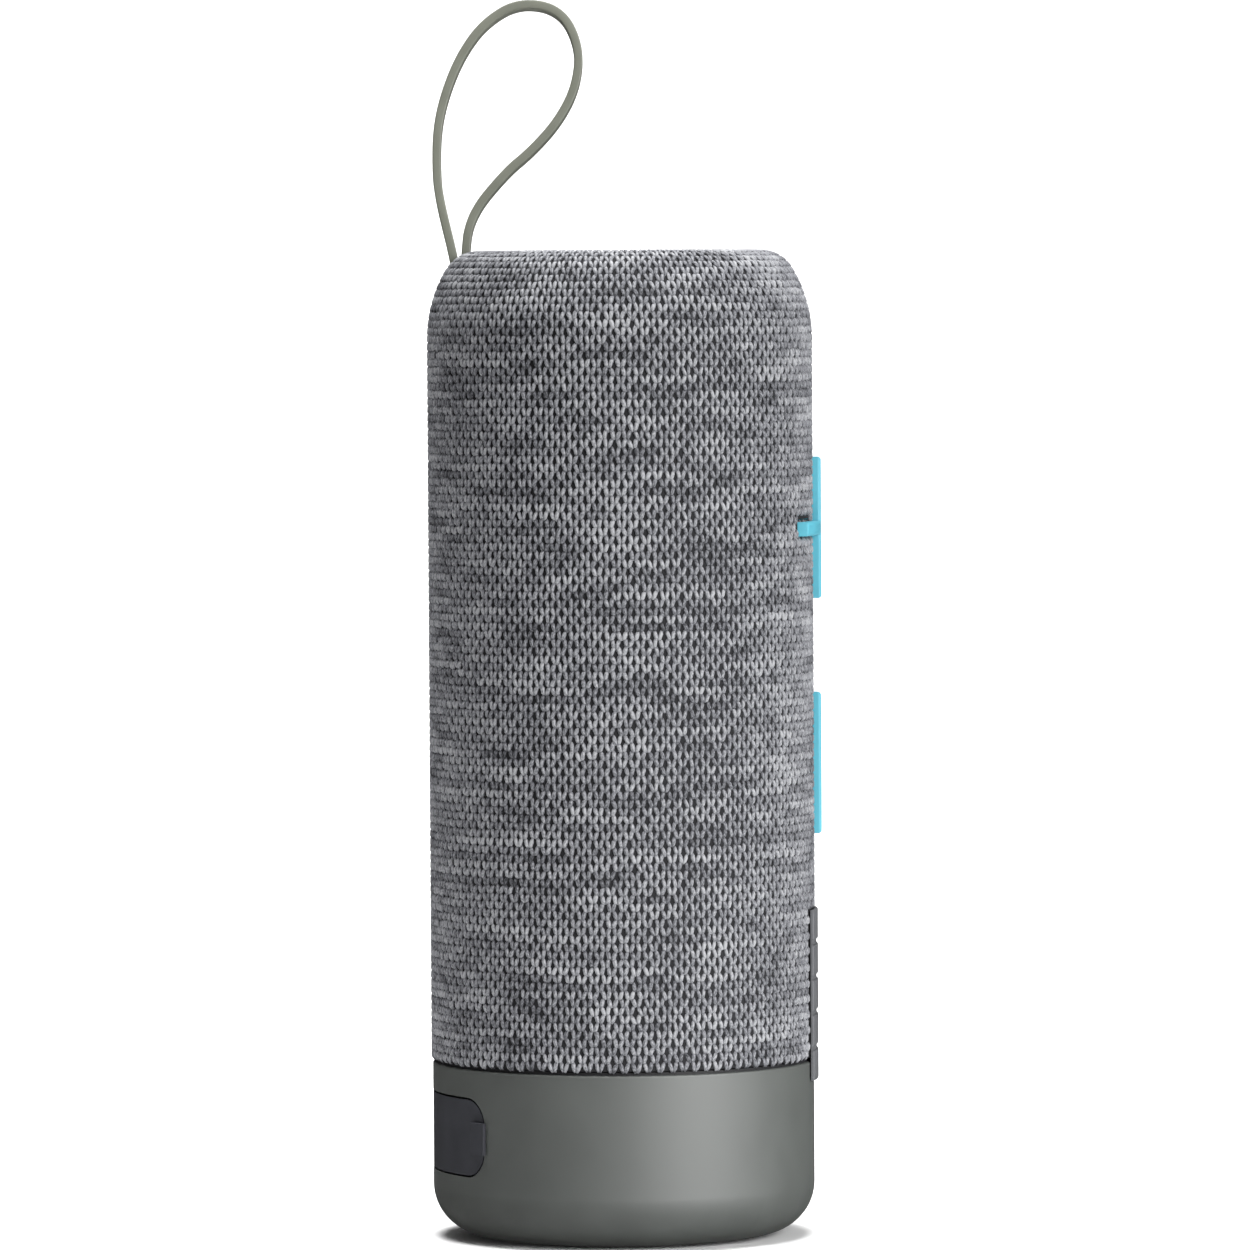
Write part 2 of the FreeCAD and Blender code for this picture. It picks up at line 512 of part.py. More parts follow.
def chassis():
    plug = f"({BASE_IN} - bezel_gap * 5)"
    flange = f"({OUTER} - base_inset - flange_back)"
    cup = turned("chassis_cup", [
        ("0", "base_height - chassis_plug"), (plug, "base_height - chassis_plug"),
        (plug, "base_height"), (flange, "base_height"), (flange, f"base_height + chassis_flange"),
        (CHASSIS_OUT, "base_height + chassis_flange"), (CHASSIS_OUT, CHASSIS_TOP),
        (CHASSIS_IN, CHASSIS_TOP), (CHASSIS_IN, "base_height"), ("0", "base_height")])
    solids = [cup]
    cuts = []
    for number, (x, y) in enumerate(circle_points("post_circle"), 1):
        solids.append(rod(f"foot_boss_{number}", "post_dia",
                          f"base_height - chassis_plug - {BOARD_TOP} + 1", (x, y, BOARD_TOP)))
        cuts.append(rod(f"foot_pilot_{number}", "base_screw_dia", "pilot_deep + 0.5", (x, y, BOARD_TOP)))
    for number, (x, y) in enumerate(circle_points(LID_CIRCLE), 1):
        solids.append(rod(f"lid_boss_{number}", "lid_boss", "lid_boss_tall",
                          (x, y, f"{LID_LOW} - lid_boss_tall")))
        cuts.append(rod(f"lid_pilot_{number}", "lid_screw_dia", "lid_pilot",
                        (x, y, f"{LID_LOW} - lid_pilot")))
    low = f"({MINUS_LEVEL} - recess_reach)"
    high = f"({PLUS_LEVEL} + recess_reach)"
    front = f"({CHASSIS_IN} + 0.3)"
    depth = f"({front} - recess_floor + recess_wall)"
    solids.append(block("key_box", "recess_wide + 2 * recess_wall", depth, f"{high} - {low}",
                        ("0", f"{depth} / 2 - {front}", low)))
    cuts.append(block("key_recess", "recess_wide", "cut_long", f"{high} - {low} - 2 * recess_wall",
                      ("0", "-recess_floor - cut_long / 2", f"{low} + recess_wall")))
    window = "(unit_square + 2 * unit_gap)"
    seat_half = f"(sqrt({CHASSIS_IN}^2 - (seat_out - seat_thick)^2) + 0.4)"
    for unit, level in (("driver", DRIVER_LEVEL), ("radiator", RADIATOR_LEVEL)):
        for side, sign in SIDES:
            tag = f"{unit}_{side}"
            solids.append(block(f"seat_{tag}", "seat_thick", f"2 * {seat_half}", "seat_tall",
                                (f"{sign} * (seat_out - seat_thick / 2)", "0", f"{level} - seat_tall / 2")))
            cuts.append(block(f"window_{tag}", "cut_long", window, window,
                              (f"{sign} * (seat_out + cut_long / 2)", "0", f"{level} - {window} / 2")))
            cuts.append(rod(f"opening_{tag}", "basket_dia + 2 * unit_gap", "seat_thick + 4",
                            (f"{sign} * (seat_out - seat_thick - 2)", "0", level), FACING[sign]))
            for number, (y, z) in enumerate(unit_corners(level), 1):
                cuts.append(rod(f"pilot_{tag}_{number}", "small_screw_dia", "seat_thick + 1",
                                (f"{sign} * (seat_out - seat_thick - 0.5)", y, z), FACING[sign]))
    return minus("chassis", merged("chassis_solid", solids), cuts)


def unit_corners(level):
    """The four screw places of a square driver or radiator frame, as (y, z)."""
    pitch = "unit_screw_pitch / 2"
    return [(f"{a} * {pitch}", f"{level} + {b} * {pitch}") for a in (-1, 1) for b in (-1, 1)]


def key_prisms(tag, gap, outer, inner):
    """The plus and minus shapes as solids between two radii, grown by a gap all round."""
    prisms = []
    for name, level, crossed in (("plus", PLUS_LEVEL, True), ("minus", MINUS_LEVEL, False)):
        upright = block(f"{tag}_{name}_upright", f"bar_wide + 2 * ({gap})", OUTER,
                        f"bar_long + 2 * ({gap})",
                        ("0", f"-{OUTER} + 5", f"{level} - bar_long / 2 - ({gap})"))
        bars = [upright]
        if crossed:
            bars.append(block(f"{tag}_{name}_level", f"2 * (cross_half + ({gap}))", OUTER,
                              f"bar_wide + 2 * ({gap})",
                              ("0", f"-{OUTER} + 5", f"{level} - bar_wide / 2 - ({gap})")))
        shape = merged(f"{tag}_{name}_bars", bars) if crossed else upright
        skin = ring(f"{tag}_{name}_skin", outer[name], inner, f"{level} - bar_long", f"{level} + bar_long")
        prisms.append(shared(f"{tag}_{name}", shape, skin))
    return prisms


def peg_points():
    """The heights of the badge's two fixing pegs."""
    return [f"{BADGE_LOW} + badge_tall * {share}" for share in (0.35, 0.85)]


def peg_rods(tag, dia, past="0"):
    return [rod(f"{tag}_{number}", dia, f"{OUTER} - {GRILLE_IN} + {past}",
                ("0", f"-{OUTER} - 0.1", level), ALONG_Y)
            for number, level in enumerate(peg_points(), 1)]


def grille_tube():
    body = ring("grille_body", GRILLE_OUT, GRILLE_IN, SEAM_TOP, CHASSIS_TOP)
    doc.recompute()
    whole = body.Shape.Volume
    sketch = body.newObject("Sketcher::SketchObject", "grille_slots_outline")
    sketch.AttachmentSupport = (origin_plane(body, "YZ_Plane"), [""])
    sketch.MapMode = "FlatFace"
    sketch.AttachmentOffset = Placement(Vector(), Rotation(Vector(0, 1, 0), -value("slot_sweep") / 2))
    for first, level in ((0, DRIVER_LEVEL), (4, RADIATOR_LEVEL)):
        corners = [(a, b) for a, b in ((-1, -1), (1, -1), (1, 1), (-1, 1))]
        points = [Vector(a * value("slot_wide / 2"), value(f"{level} + {b} * slot_tall / 2"), 0)
                  for a, b in corners]
        for number, (a, b) in enumerate(corners):
            sketch.addGeometry(Part.LineSegment(points[number], points[(number + 1) % 4]), False)
        for number, (a, b) in enumerate(corners):
            edge = first + number
            sketch.addConstraint(Sketcher.Constraint(
                "Coincident", edge, 2, first + (number + 1) % 4, 1))
            for kind, words in (("DistanceX", f"{a} * slot_wide / 2"),
                                ("DistanceY", f"{level} + {b} * slot_tall / 2")):
                dimension = sketch.addConstraint(Sketcher.Constraint(kind, -1, 1, edge, 1, value(words)))
                sketch.setExpression(f"Constraints[{dimension}]", link(words))
    pocket = body.newObject("PartDesign::Pocket", "grille_slot")
    pocket.Profile = sketch
    pocket.Type = "ThroughAll"
    pocket.Midplane = True
    doc.recompute()
    pattern = body.newObject("PartDesign::PolarPattern", "grille_slots")
    pattern.Originals = [pocket]
    pattern.Axis = (sketch, ["V_Axis"])
    bind(pattern, Angle="slot_sweep", Occurrences="slot_count")
    body.Tip = pattern
    doc.recompute()
    if body.Shape.Volume > 0.97 * whole:
        raise RuntimeError("the grille slots cut nothing")
    reach = {"plus": f"({OUTER} + 1)", "minus": f"({OUTER} + 1)"}
    cuts = key_prisms("grille_key", "key_gap + 0.1", reach, f"({GRILLE_IN} - 1)")
    return minus("grille_tube", body, cuts + peg_rods("grille_peg", "peg_dia + 2 * hole_gap", "1"))


def fabric_sleeve():
    opening = "(trim_dia / 2 + 2 * trim_gap)"
    sleeve = turned("sleeve_turned", [(FABRIC_IN, SEAM_TOP), (OUTER, SEAM_TOP)]
                    + shoulder_arcs("0", inward=False)
                    + [(opening, "body_height"), (opening, "body_height - fabric_thick")]
                    + shoulder_arcs("fabric_thick", inward=True))
    reach = {"plus": f"({OUTER} + 1)", "minus": f"({OUTER} + 1)"}
    cuts = key_prisms("sleeve_key", "key_gap", reach, f"({FABRIC_IN} - 1)")
    cuts += peg_rods("sleeve_peg", "peg_dia + 2 * hole_gap", "1")
    cuts.append(block("sleeve_slot", "neck_wide + 2 * layer_gap", "neck_deep + 2 * layer_gap", "cut_long",
                      ("0", SLOT_BACK, "body_height - cut_long / 2")))
    return minus("fabric_sleeve", sleeve, cuts)


def badge():
    plate = sector("badge_plate", f"({OUTER} + badge_thick)", OUTER, "badge_half_angle", BADGE_LOW,
                   "badge_tall", 270)
    solids = [plate]
    pitch = "((badge_tall + rib_notch) / rib_count)"
    for number in range(int(SIZES["rib_count"])):
        solids.append(sector(f"badge_rib_{number + 1}", f"({OUTER} + badge_thick + rib_proud)",
                             f"({OUTER} + 0.1)", "badge_half_angle - 0.6",
                             f"{BADGE_LOW} + {number} * {pitch}", f"{pitch} - rib_notch", 270))
    top = value(f"{OUTER} + badge_thick + rib_proud")
    body = merged("badge_raised", solids)
    soft = softened("badge_soft", body, "rib_round", lambda edge: rim_edge(edge, top))
    return merged("badge", [soft] + peg_rods("badge_peg", "peg_dia"))


def rim_edge(edge, radius):
    """True for an edge that lies wholly at this distance from the Z axis."""
    points = edge.discretize(3)
    return all(abs(math.hypot(p.x, p.y) - radius) < 0.002 for p in points)


def volume_key(name, proud, level, prism):
    """A soft bar or cross that stands out of the cloth, with a lip that holds it in the recess."""
    top = value(f"{OUTER} + {proud}")
    soft = softened(f"{name}_soft", prism, "key_edge", lambda edge: rim_edge(edge, top))
    stem_out = f"({GRILLE_OUT} - 0.5)"
    stem = block(f"{name}_stem", "bar_wide", f"{stem_out} - {KEY_UNDER}", "bar_long * 0.4",
                 ("0", f"-({stem_out} + {KEY_UNDER}) / 2", f"{level} - bar_long * 0.2"))
    lip = block(f"{name}_lip", "lip_wide", "lip_thick", "lip_wide",
                ("0", f"-{KEY_UNDER} - lip_thick / 2", f"{level} - lip_wide / 2"))
    return merged(name, [soft, stem, lip])


def volume_keys():
    reach = {"plus": f"({OUTER} + plus_proud)", "minus": f"({OUTER} + minus_proud)"}
    plus, minus_prism = key_prisms("key", "0", reach, f"({GRILLE_OUT} - key_deep)")
    return [volume_key("plus_button", "plus_proud", PLUS_LEVEL, plus),
            volume_key("minus_button", "minus_proud", MINUS_LEVEL, minus_prism)]


def button_board():
    low = f"({MINUS_LEVEL} - recess_reach + recess_wall + 0.5)"
    high = f"({PLUS_LEVEL} + recess_reach - recess_wall - 0.5)"
    return block("button_board", "recess_wide - 1", "key_board", f"{high} - {low}",
                 ("0", "-recess_floor - key_board / 2", low))


def button_switches():
    pieces = []
    for name, level in (("plus", PLUS_LEVEL), ("minus", MINUS_LEVEL)):
        case = block(f"{name}_case", "switch_side", "switch_tall", "switch_side",
                     ("0", "-recess_floor - key_board - switch_tall / 2",
                      f"{level} - switch_side / 2"))
        dome = rod(f"{name}_dome", "dome_dia", "dome_tall + 0.2",
                   ("0", "-recess_floor - key_board - switch_tall - dome_tall", level), ALONG_Y)
        pieces.append(merged(f"{name}_switch", [case, dome]))
    return group("button_switches", pieces)


# ---------------------------------------------------------------- drivers, radiators, battery

def unit_frame(name, level, sign, basket):
    """A square frame with a round opening, and the basket behind it if it has one."""
    plate = block(f"{name}_plate", "unit_flange", "unit_square", "unit_square",
                  (f"{sign} * ({UNIT_FACE} + unit_flange / 2)", "0", f"{level} - unit_square / 2"))
    at = (f"{sign} * {UNIT_FACE}", "0", level)
    through = rod(f"{name}_opening", "unit_open", "unit_flange + 2",
                  (f"{sign} * ({UNIT_FACE} - 1)", "0", level), FACING[sign])
    holes = [rod(f"{name}_hole_{number}", "small_screw_dia + 2 * hole_gap", "unit_flange + 2",
                 (f"{sign} * ({UNIT_FACE} - 1)", y, z), FACING[sign])
             for number, (y, z) in enumerate(unit_corners(level), 1)]
    flat = minus(f"{name}_flat", plate, [through] + holes)
    if not basket:
        skirt = ring(f"{name}_skirt", "basket_dia / 2", "unit_open / 2", "-plate_travel", "0.2", at,
                     FACING[sign])
        return merged(name, [flat, skirt])
    seat = "(magnet_dia / 2 + 1.6)"
    cup = turned(f"{name}_basket", [
        ("basket_dia / 2", "0.2"), ("unit_open / 2", "0.2"), ("unit_open / 2", "-cone_travel - 0.3"),
        (f"{seat} - 0.6", "1.4 - basket_deep"), ("magnet_hole / 2 + 0.4", "1.4 - basket_deep"),
        ("magnet_hole / 2 + 0.4", "-basket_deep"), (f"{seat}", "-basket_deep"),
        ("basket_dia / 2", "-cone_travel - 1")], at, FACING[sign])
    return merged(name, [flat, cup])


def driver_magnet(name, sign, at):
    return ring(name, "magnet_dia / 2", "magnet_hole / 2", "-basket_deep - magnet_tall", "-basket_deep",
                at, FACING[sign])


def driver_yoke(name, sign, at):
    low = "(-basket_deep - magnet_tall)"
    return turned(name, [
        ("0", f"{low} - yoke_plate"), ("magnet_dia / 2", f"{low} - yoke_plate"),
        ("magnet_dia / 2", low), ("pole_dia / 2", low), ("pole_dia / 2", "-basket_deep + 0.6"),
        ("0", "-basket_deep + 0.6")], at, FACING[sign])


def driver_cone(name, sign, at):
    """Paper cone, dust cap and voice coil former in one moving piece."""
    edge, coil = "(cone_dia / 2)", "(coil_dia / 2)"
    slope = turned(f"{name}_paper", [
        (coil, "-5"), (edge, "0"), (edge, "cone_thick"), (coil, "cone_thick - 5")], at, FACING[sign])
    low = "(cone_travel + 0.3 - basket_deep - magnet_tall)"
    former = ring(f"{name}_former", coil, f"{coil} - coil_wall", low, "-4.2", at, FACING[sign])
    cap = turned(f"{name}_cap", [
        ("0", "-3"), (f"{coil} + 0.6", "-4.4"), (f"{coil} + 0.6", "-4"), ("0", "-2.2")], at, FACING[sign])
    return merged(name, [slope, former, cap])


def roll_surround(name, sign, at, inner):
    """A half-roll rubber ring between a moving edge and its frame."""
    outer = "(unit_open / 2 - roll_gap)"
    near = f"({inner} + roll_gap)"
    radius = f"(({outer} - {near}) / 2 - 0.4)"
    inside = f"({radius} - roll_thick)"
    middle = f"(({outer} + {near}) / 2)"
    return turned(name, [
        (near, "0"), (f"{middle} - {inside}", "0", f"-{inside}"), (f"{middle}", inside, f"-{inside}"),
        (f"{middle} + {inside}", "0"), (outer, "0"), (outer, "roll_thick"),
        (f"{middle} + sqrt({radius}^2 - roll_thick^2)", "roll_thick", radius),
        (middle, radius, radius),
        (f"{middle} - sqrt({radius}^2 - roll_thick^2)", "roll_thick"), (near, "roll_thick")],
        at, FACING[sign])


def driver_spider(name, sign, at):
    low = "(1.5 - basket_deep)"
    inner, outer = "(coil_dia / 2 + roll_gap)", "(magnet_dia / 2 - 0.6)"
    return ring(name, outer, inner, low, f"{low} + 0.4", at, FACING[sign])


def radiator_plate(name, sign, at):
    edge = "(cone_dia / 2)"
    return turned(name, [
        ("0", "-plate_weight"), ("cone_dia / 4", "-plate_weight"), ("cone_dia / 4", "0"), (edge, "0"),
        (edge, "plate_thick - 0.4", "0.4"), (f"{edge} - 0.4", "plate_thick"), ("0", "plate_thick")],
        at, FACING[sign])


def sound_units():
    pieces = []
    for side, sign in SIDES:
        at = (f"{sign} * {UNIT_FACE}", "0", DRIVER_LEVEL)
        pieces.append(unit_frame(f"driver_frame_{side}", DRIVER_LEVEL, sign, basket=True))
        pieces.append(driver_magnet(f"driver_magnet_{side}", sign, at))
        pieces.append(driver_yoke(f"driver_yoke_{side}", sign, at))
        pieces.append(driver_cone(f"driver_cone_{side}", sign, at))
        pieces.append(roll_surround(f"driver_surround_{side}", sign, at, "(cone_dia / 2)"))
        pieces.append(driver_spider(f"driver_spider_{side}", sign, at))
        at = (f"{sign} * {UNIT_FACE}", "0", RADIATOR_LEVEL)
        pieces.append(unit_frame(f"radiator_frame_{side}", RADIATOR_LEVEL, sign, basket=False))
        pieces.append(radiator_plate(f"radiator_plate_{side}", sign, at))
        pieces.append(roll_surround(f"radiator_surround_{side}", sign, at, "(cone_dia / 2)"))
    return pieces


def unit_places():
    return [(f"{unit}_{side}", sign, level)
            for unit, level in (("driver", DRIVER_LEVEL), ("radiator", RADIATOR_LEVEL))
            for side, sign in SIDES]


def mount_gaskets():
    pieces = []
    for tag, sign, level in unit_places():
        sheet_foam = block(f"foam_{tag}", "gasket_thick", "unit_square", "unit_square",
                           (f"{sign} * (seat_out + gasket_thick / 2)", "0", f"{level} - unit_square / 2"))
        middle = rod(f"foam_hole_{tag}", "basket_dia + 2 * unit_gap", "2",
                     (f"{sign} * (seat_out - 1)", "0", level), FACING[sign])
        holes = [rod(f"foam_screw_{tag}_{number}", "small_screw_dia + 2 * hole_gap", "2",
                     (f"{sign} * (seat_out - 1)", y, z), FACING[sign])
                 for number, (y, z) in enumerate(unit_corners(level), 1)]
        pieces.append(minus(f"gasket_{tag}", sheet_foam, [middle] + holes))
    return group("mount_gaskets", pieces)


def mount_screws():
    pieces = []
    face = f"({UNIT_FACE} + unit_flange)"
    for tag, sign, level in unit_places():
        for number, (y, z) in enumerate(unit_corners(level), 1):
            shank = rod(f"screw_shank_{tag}_{number}", "small_screw_dia", f"{face} - seat_out + seat_thick",
                        (f"{sign} * (seat_out - seat_thick)", y, z), FACING[sign])
            head = rod(f"screw_head_{tag}_{number}", "small_head_dia", "small_head_tall",
                       (f"{sign} * {face}", y, z), FACING[sign])
            pieces.append(merged(f"screw_{tag}_{number}", [shank, head]))
    return group("mount_screws", pieces)


def battery():
    edge = "(cell_dia / 2)"
    return turned("battery", [
        ("0", CELL_LEVEL), (f"{edge} - cell_edge", CELL_LEVEL, "cell_edge"),
        (edge, f"{CELL_LEVEL} + cell_edge"), (edge, f"{CELL_END} - cell_edge", "cell_edge"),
        (f"{edge} - cell_edge", CELL_END), ("cell_button / 2", CELL_END),
        ("cell_button / 2", f"{CELL_END} + cell_edge"), ("0", f"{CELL_END} + cell_edge")],
        ("0", "cell_back", "0"))


def battery_cradle():
    back = f"({CHASSIS_IN} - 1.4)"
    low, high = f"({CELL_LEVEL} + cradle_inset)", f"({CELL_END} - cradle_inset - cradle_tall)"
    ribs = [block(f"cradle_rib_{number}", "cradle_wide", f"{back} - cell_back", "cradle_tall",
                  ("0", f"({back} + cell_back) / 2", level)) for number, level in enumerate((low, high), 1)]
    spine = block("cradle_spine", "spine_wide", "spine_deep", f"{high} + cradle_tall - {low}",
                  ("0", f"{back} - spine_deep / 2", low))
    hollow = rod("cradle_hollow", "cell_dia + 2 * cell_gap", "cell_tall", ("0", "cell_back", CELL_LEVEL))
    return minus("battery_cradle", merged("cradle_solid", ribs + [spine]), [hollow])


def battery_board():
    return block("battery_board", "guard_wide", "guard_long", "guard_thick",
                 ("0", "cell_back", f"{CELL_END} + 1.2"))


# ---------------------------------------------------------------- top

def chassis_lid():
    disc = rod("lid_disc", f"2 * ({CHASSIS_IN} - 0.1)", "lid_thick", ("0", "0", LID_LOW))
    solids = [disc]
    cuts = []
    for number, (x, y) in enumerate(circle_points(LID_CIRCLE), 1):
        cuts.append(rod(f"lid_way_{number}", "lid_screw_dia + 2 * hole_gap", "lid_thick + 2",
                        (x, y, f"{LID_LOW} - 1")))
    for number, (x, y) in enumerate(circle_points("cap_circle"), 1):
        solids.append(rod(f"lid_column_{number}", "column_dia", f"{CAP_UNDER} - {CHASSIS_TOP} + 1",
                          (x, y, f"{CHASSIS_TOP} - 1")))
        cuts.append(rod(f"column_pilot_{number}", "small_screw_dia", "column_pilot",
                        (x, y, f"{CAP_UNDER} - column_pilot")))
    for side, sign in SIDES:
        solids.append(rod(f"lid_standoff_{side}", "standoff_dia", f"{TOP_BOARD} - {CHASSIS_TOP} + 1",
                          ("0", f"{sign} * standoff_across", f"{CHASSIS_TOP} - 1")))
    for side, sign in SIDES:
        reach = "(anchor_wide / 2 + layer_gap + lug_thick / 2)"
        solids.append(block(f"strap_lug_{side}", "lug_thick", "lug_deep", "lug_tall",
                            (f"{sign} * {reach}", f"{SLOT_BACK} - 1.05", CHASSIS_TOP)))
    cuts.append(rod("lug_way", "strap_pin_dia", "strap_pin_long",
                    ("-strap_pin_long / 2", f"{SLOT_BACK} - 0.75", PIN_LEVEL), ALONG_X))
    return minus("chassis_lid", merged("lid_solid", solids), cuts)


def lid_screws():
    return screws("lid_screws", circle_points(LID_CIRCLE), CHASSIS_TOP, "lid_screw_dia",
                  "lid_thick + 6", "lid_head_dia", "lid_head_tall", upward=False)


def top_key_ways(tag, shape):
    """One round tool for each thing that comes through the top, as wide as shape gives."""
    return [rod(f"{tag}_{name}", dia, "cut_long", ("0", y, f"{CAP_UNDER} - 2"))
            for name, y, dia in shape if dia]


def top_cap():
    rim = "(trim_dia / 2 + trim_gap)"
    crest = f"{OUTER} - shoulder_wide"
    out, inside = "(fabric_thick + layer_gap)", "(fabric_thick + layer_gap + cap_wall)"
    dome = turned("cap_dome", [(f"{OUTER} - {inside}", SHOULDER)]
                  + shoulder_arcs(out, inward=False)
                  + [(rim, f"body_height - {out}"), (rim, CAP_LEDGE), ("0", CAP_LEDGE),
                     ("0", CAP_UNDER), (crest, CAP_UNDER)]
                  + shoulder_arcs(inside, inward=True)[:2])
    cuts = top_key_ways("cap_way", [
        ("power", "0", "power_stem + 4 * hole_gap"), ("pair", "-pair_forward", "pair_stem + 4 * hole_gap"),
        ("light", "light_back", "light_dia + 2 * hole_gap")])
    for number, (x, y) in enumerate(circle_points("cap_circle"), 1):
        cuts.append(rod(f"cap_hole_{number}", "small_screw_dia + 2 * hole_gap", "cap_floor + 2",
                        (x, y, f"{CAP_UNDER} - 1")))
        cuts.append(rod(f"cap_sink_{number}", "small_head_dia + 2 * hole_gap", "small_head_tall + 1",
                        (x, y, f"{CAP_LEDGE} - small_head_tall")))
    cuts.append(block("cap_slot", "anchor_wide + 2 * layer_gap", "anchor_deep + 1.2", "cut_long",
                      ("0", f"{SLOT_BACK} - 0.1", f"{ANCHOR_LOW} - 0.3")))
    return minus("top_cap", dome, cuts)


def cap_screws():
    return screws("cap_screws", circle_points("cap_circle"), f"{CAP_LEDGE} - small_head_tall",
                  "small_screw_dia", "cap_floor - small_head_tall + 5", "small_head_dia",
                  "small_head_tall", upward=False)


def top_trim():
    low, high, edge = f"({CAP_LEDGE} + layer_gap)", "(body_height - trim_sunk)", "(trim_dia / 2)"
    disc = turned("trim_disc", [
        ("0", low), (edge, low), (edge, f"{high} - trim_edge", "trim_edge"),
        (f"{edge} - trim_edge", high), ("0", high)])
    cuts = top_key_ways("trim_way", [
        ("power", "0", "power_dia + 2 * key_gap"), ("pair", "-pair_forward", "pair_dia + 2 * key_gap"),
        ("light", "light_back", "light_dia + 2 * 0.05")])
    return minus("top_trim", disc, cuts)


def top_key(name, dia, stem, forward):
    """A round key with a stem down to its switch and a clip under the top cap's floor."""
    high = "(body_height - trim_sunk + top_proud)"
    low = f"({high} - top_key_thick)"
    edge, foot = f"({dia} / 2)", f"({stem} / 2)"
    clip_high = f"({CAP_UNDER} - layer_gap * 2)"
    return turned(name, [
        ("0", TOP_KEY_UNDER), (foot, TOP_KEY_UNDER), (foot, f"{clip_high} - clip_thick"),
        (f"{foot} + clip_over", f"{clip_high} - clip_thick"), (f"{foot} + clip_over", clip_high),
        (foot, clip_high), (foot, low), (edge, low), (edge, f"{high} - trim_edge", "trim_edge"),
        (f"{edge} - trim_edge", high), ("0", high)], ("0", f"-{forward}", "0"))


def top_board():
    return block("top_board", "top_board_wide", "top_board_long", "top_board_thick",
                 ("0", "0", TOP_BOARD))


def top_switches():
    low = f"({TOP_BOARD} + top_board_thick)"
    pieces = []
    for name, y in (("power", "0"), ("pair", "-pair_forward")):
        case = block(f"{name}_case", "switch_side", "switch_side", "switch_tall", ("0", y, low))
        dome = rod(f"{name}_dome", "dome_dia", "dome_tall + 0.2", ("0", y, f"{low} + switch_tall - 0.2"))
        pieces.append(merged(f"{name}_switch", [case, dome]))
    return group("top_switches", pieces)


def status_led():
    return block("status_led", "led_side", "led_side", "led_tall",
                 ("0", "light_back", f"{TOP_BOARD} + top_board_thick"))


def light_guide():
    low = f"({TOP_BOARD} + top_board_thick + 1.1)"
    return rod("light_guide", "light_dia", f"body_height - trim_sunk - {low}", ("0", "light_back", low))


# ---------------------------------------------------------------- strap

def strap_anchor():
    body = block("anchor_body", "anchor_wide", "anchor_deep", "anchor_tall",
                 ("0", f"{SLOT_BACK} - 0.75", ANCHOR_LOW))
    neck = block("anchor_neck", "neck_wide", "neck_deep", "neck_tall - 1",
                 ("0", SLOT_BACK, f"{ANCHOR_LOW} + 1"))
    bore = rod("anchor_bore", "strap_pin_dia", "anchor_wide + 2",
               ("-anchor_wide / 2 - 1", f"{SLOT_BACK} - 0.75", PIN_LEVEL), ALONG_X)
    return minus("strap_anchor", merged("anchor_solid", [body, neck]), [bore])


def strap_pin():
    return rod("strap_pin", "strap_pin_dia", "strap_pin_long",
               ("-strap_pin_long / 2", f"{SLOT_BACK} - 0.75", PIN_LEVEL), ALONG_X)


def route_path(route):
    """Straight runs joined by tangent arcs, each as large as its two runs allow."""
    points = [Vector(0, back, up) for back, up in route]
    edges, start, radii = [], points[0], []
    for before, corner, after in zip(points, points[1:], points[2:]):
        arrive, leave = corner - before, after - corner
        half_turn = arrive.getAngle(leave) / 2
        setback = 0.45 * min(arrive.Length, leave.Length)
        radius = setback / math.tan(half_turn)
        radii.append(round(radius, 1))
        first = corner - arrive.normalize() * setback
        last = corner + leave.normalize() * setback
        bulge = (leave - arrive).normalize() * (radius / math.cos(half_turn) - radius)
        edges.append(Part.makeLine(start, first))
        edges.append(Part.Arc(first, corner + bulge, last).toShape())
        start = last
    edges.append(Part.makeLine(start, points[-1]))
    print("strap radii", radii)
    return Part.Wire(edges)


def strap():
    """A flat moulded band along its route, leaning over to the right at the top."""
    plane, middle = value("body_height - strap_sunk"), value(SLOT_BACK)
    path = route_path([(middle + back, plane + up) for back, up in STRAP_ROUTE])
    across, through = value("strap_wide / 2"), value("strap_thick / 2")
    start = path.Edges[0].firstVertex().Point
    heading = (path.Edges[0].lastVertex().Point - start).normalize()
    side = heading.cross(Vector(1, 0, 0))
    corners = [start + Vector(a * across, 0, 0) + side * (b * through)
               for a, b in ((-1, -1), (1, -1), (1, 1), (-1, 1))]
    section = Part.makePolygon(corners + corners[:1])
    solid = path.makePipeShell([section], True, False)
    expected = path.Length * 4 * across * through
    print("strap length", round(path.Length, 1), "volume", round(solid.Volume, 1), "of", round(expected, 1))
    piece = doc.addObject("Part::Feature", "strap")
    piece.Shape = solid
    lean = Rotation(Vector(0, 1, 0), value("strap_lean"))
    piece.Placement = Placement(Vector(), lean, Vector(0, 0, plane))
    return piece


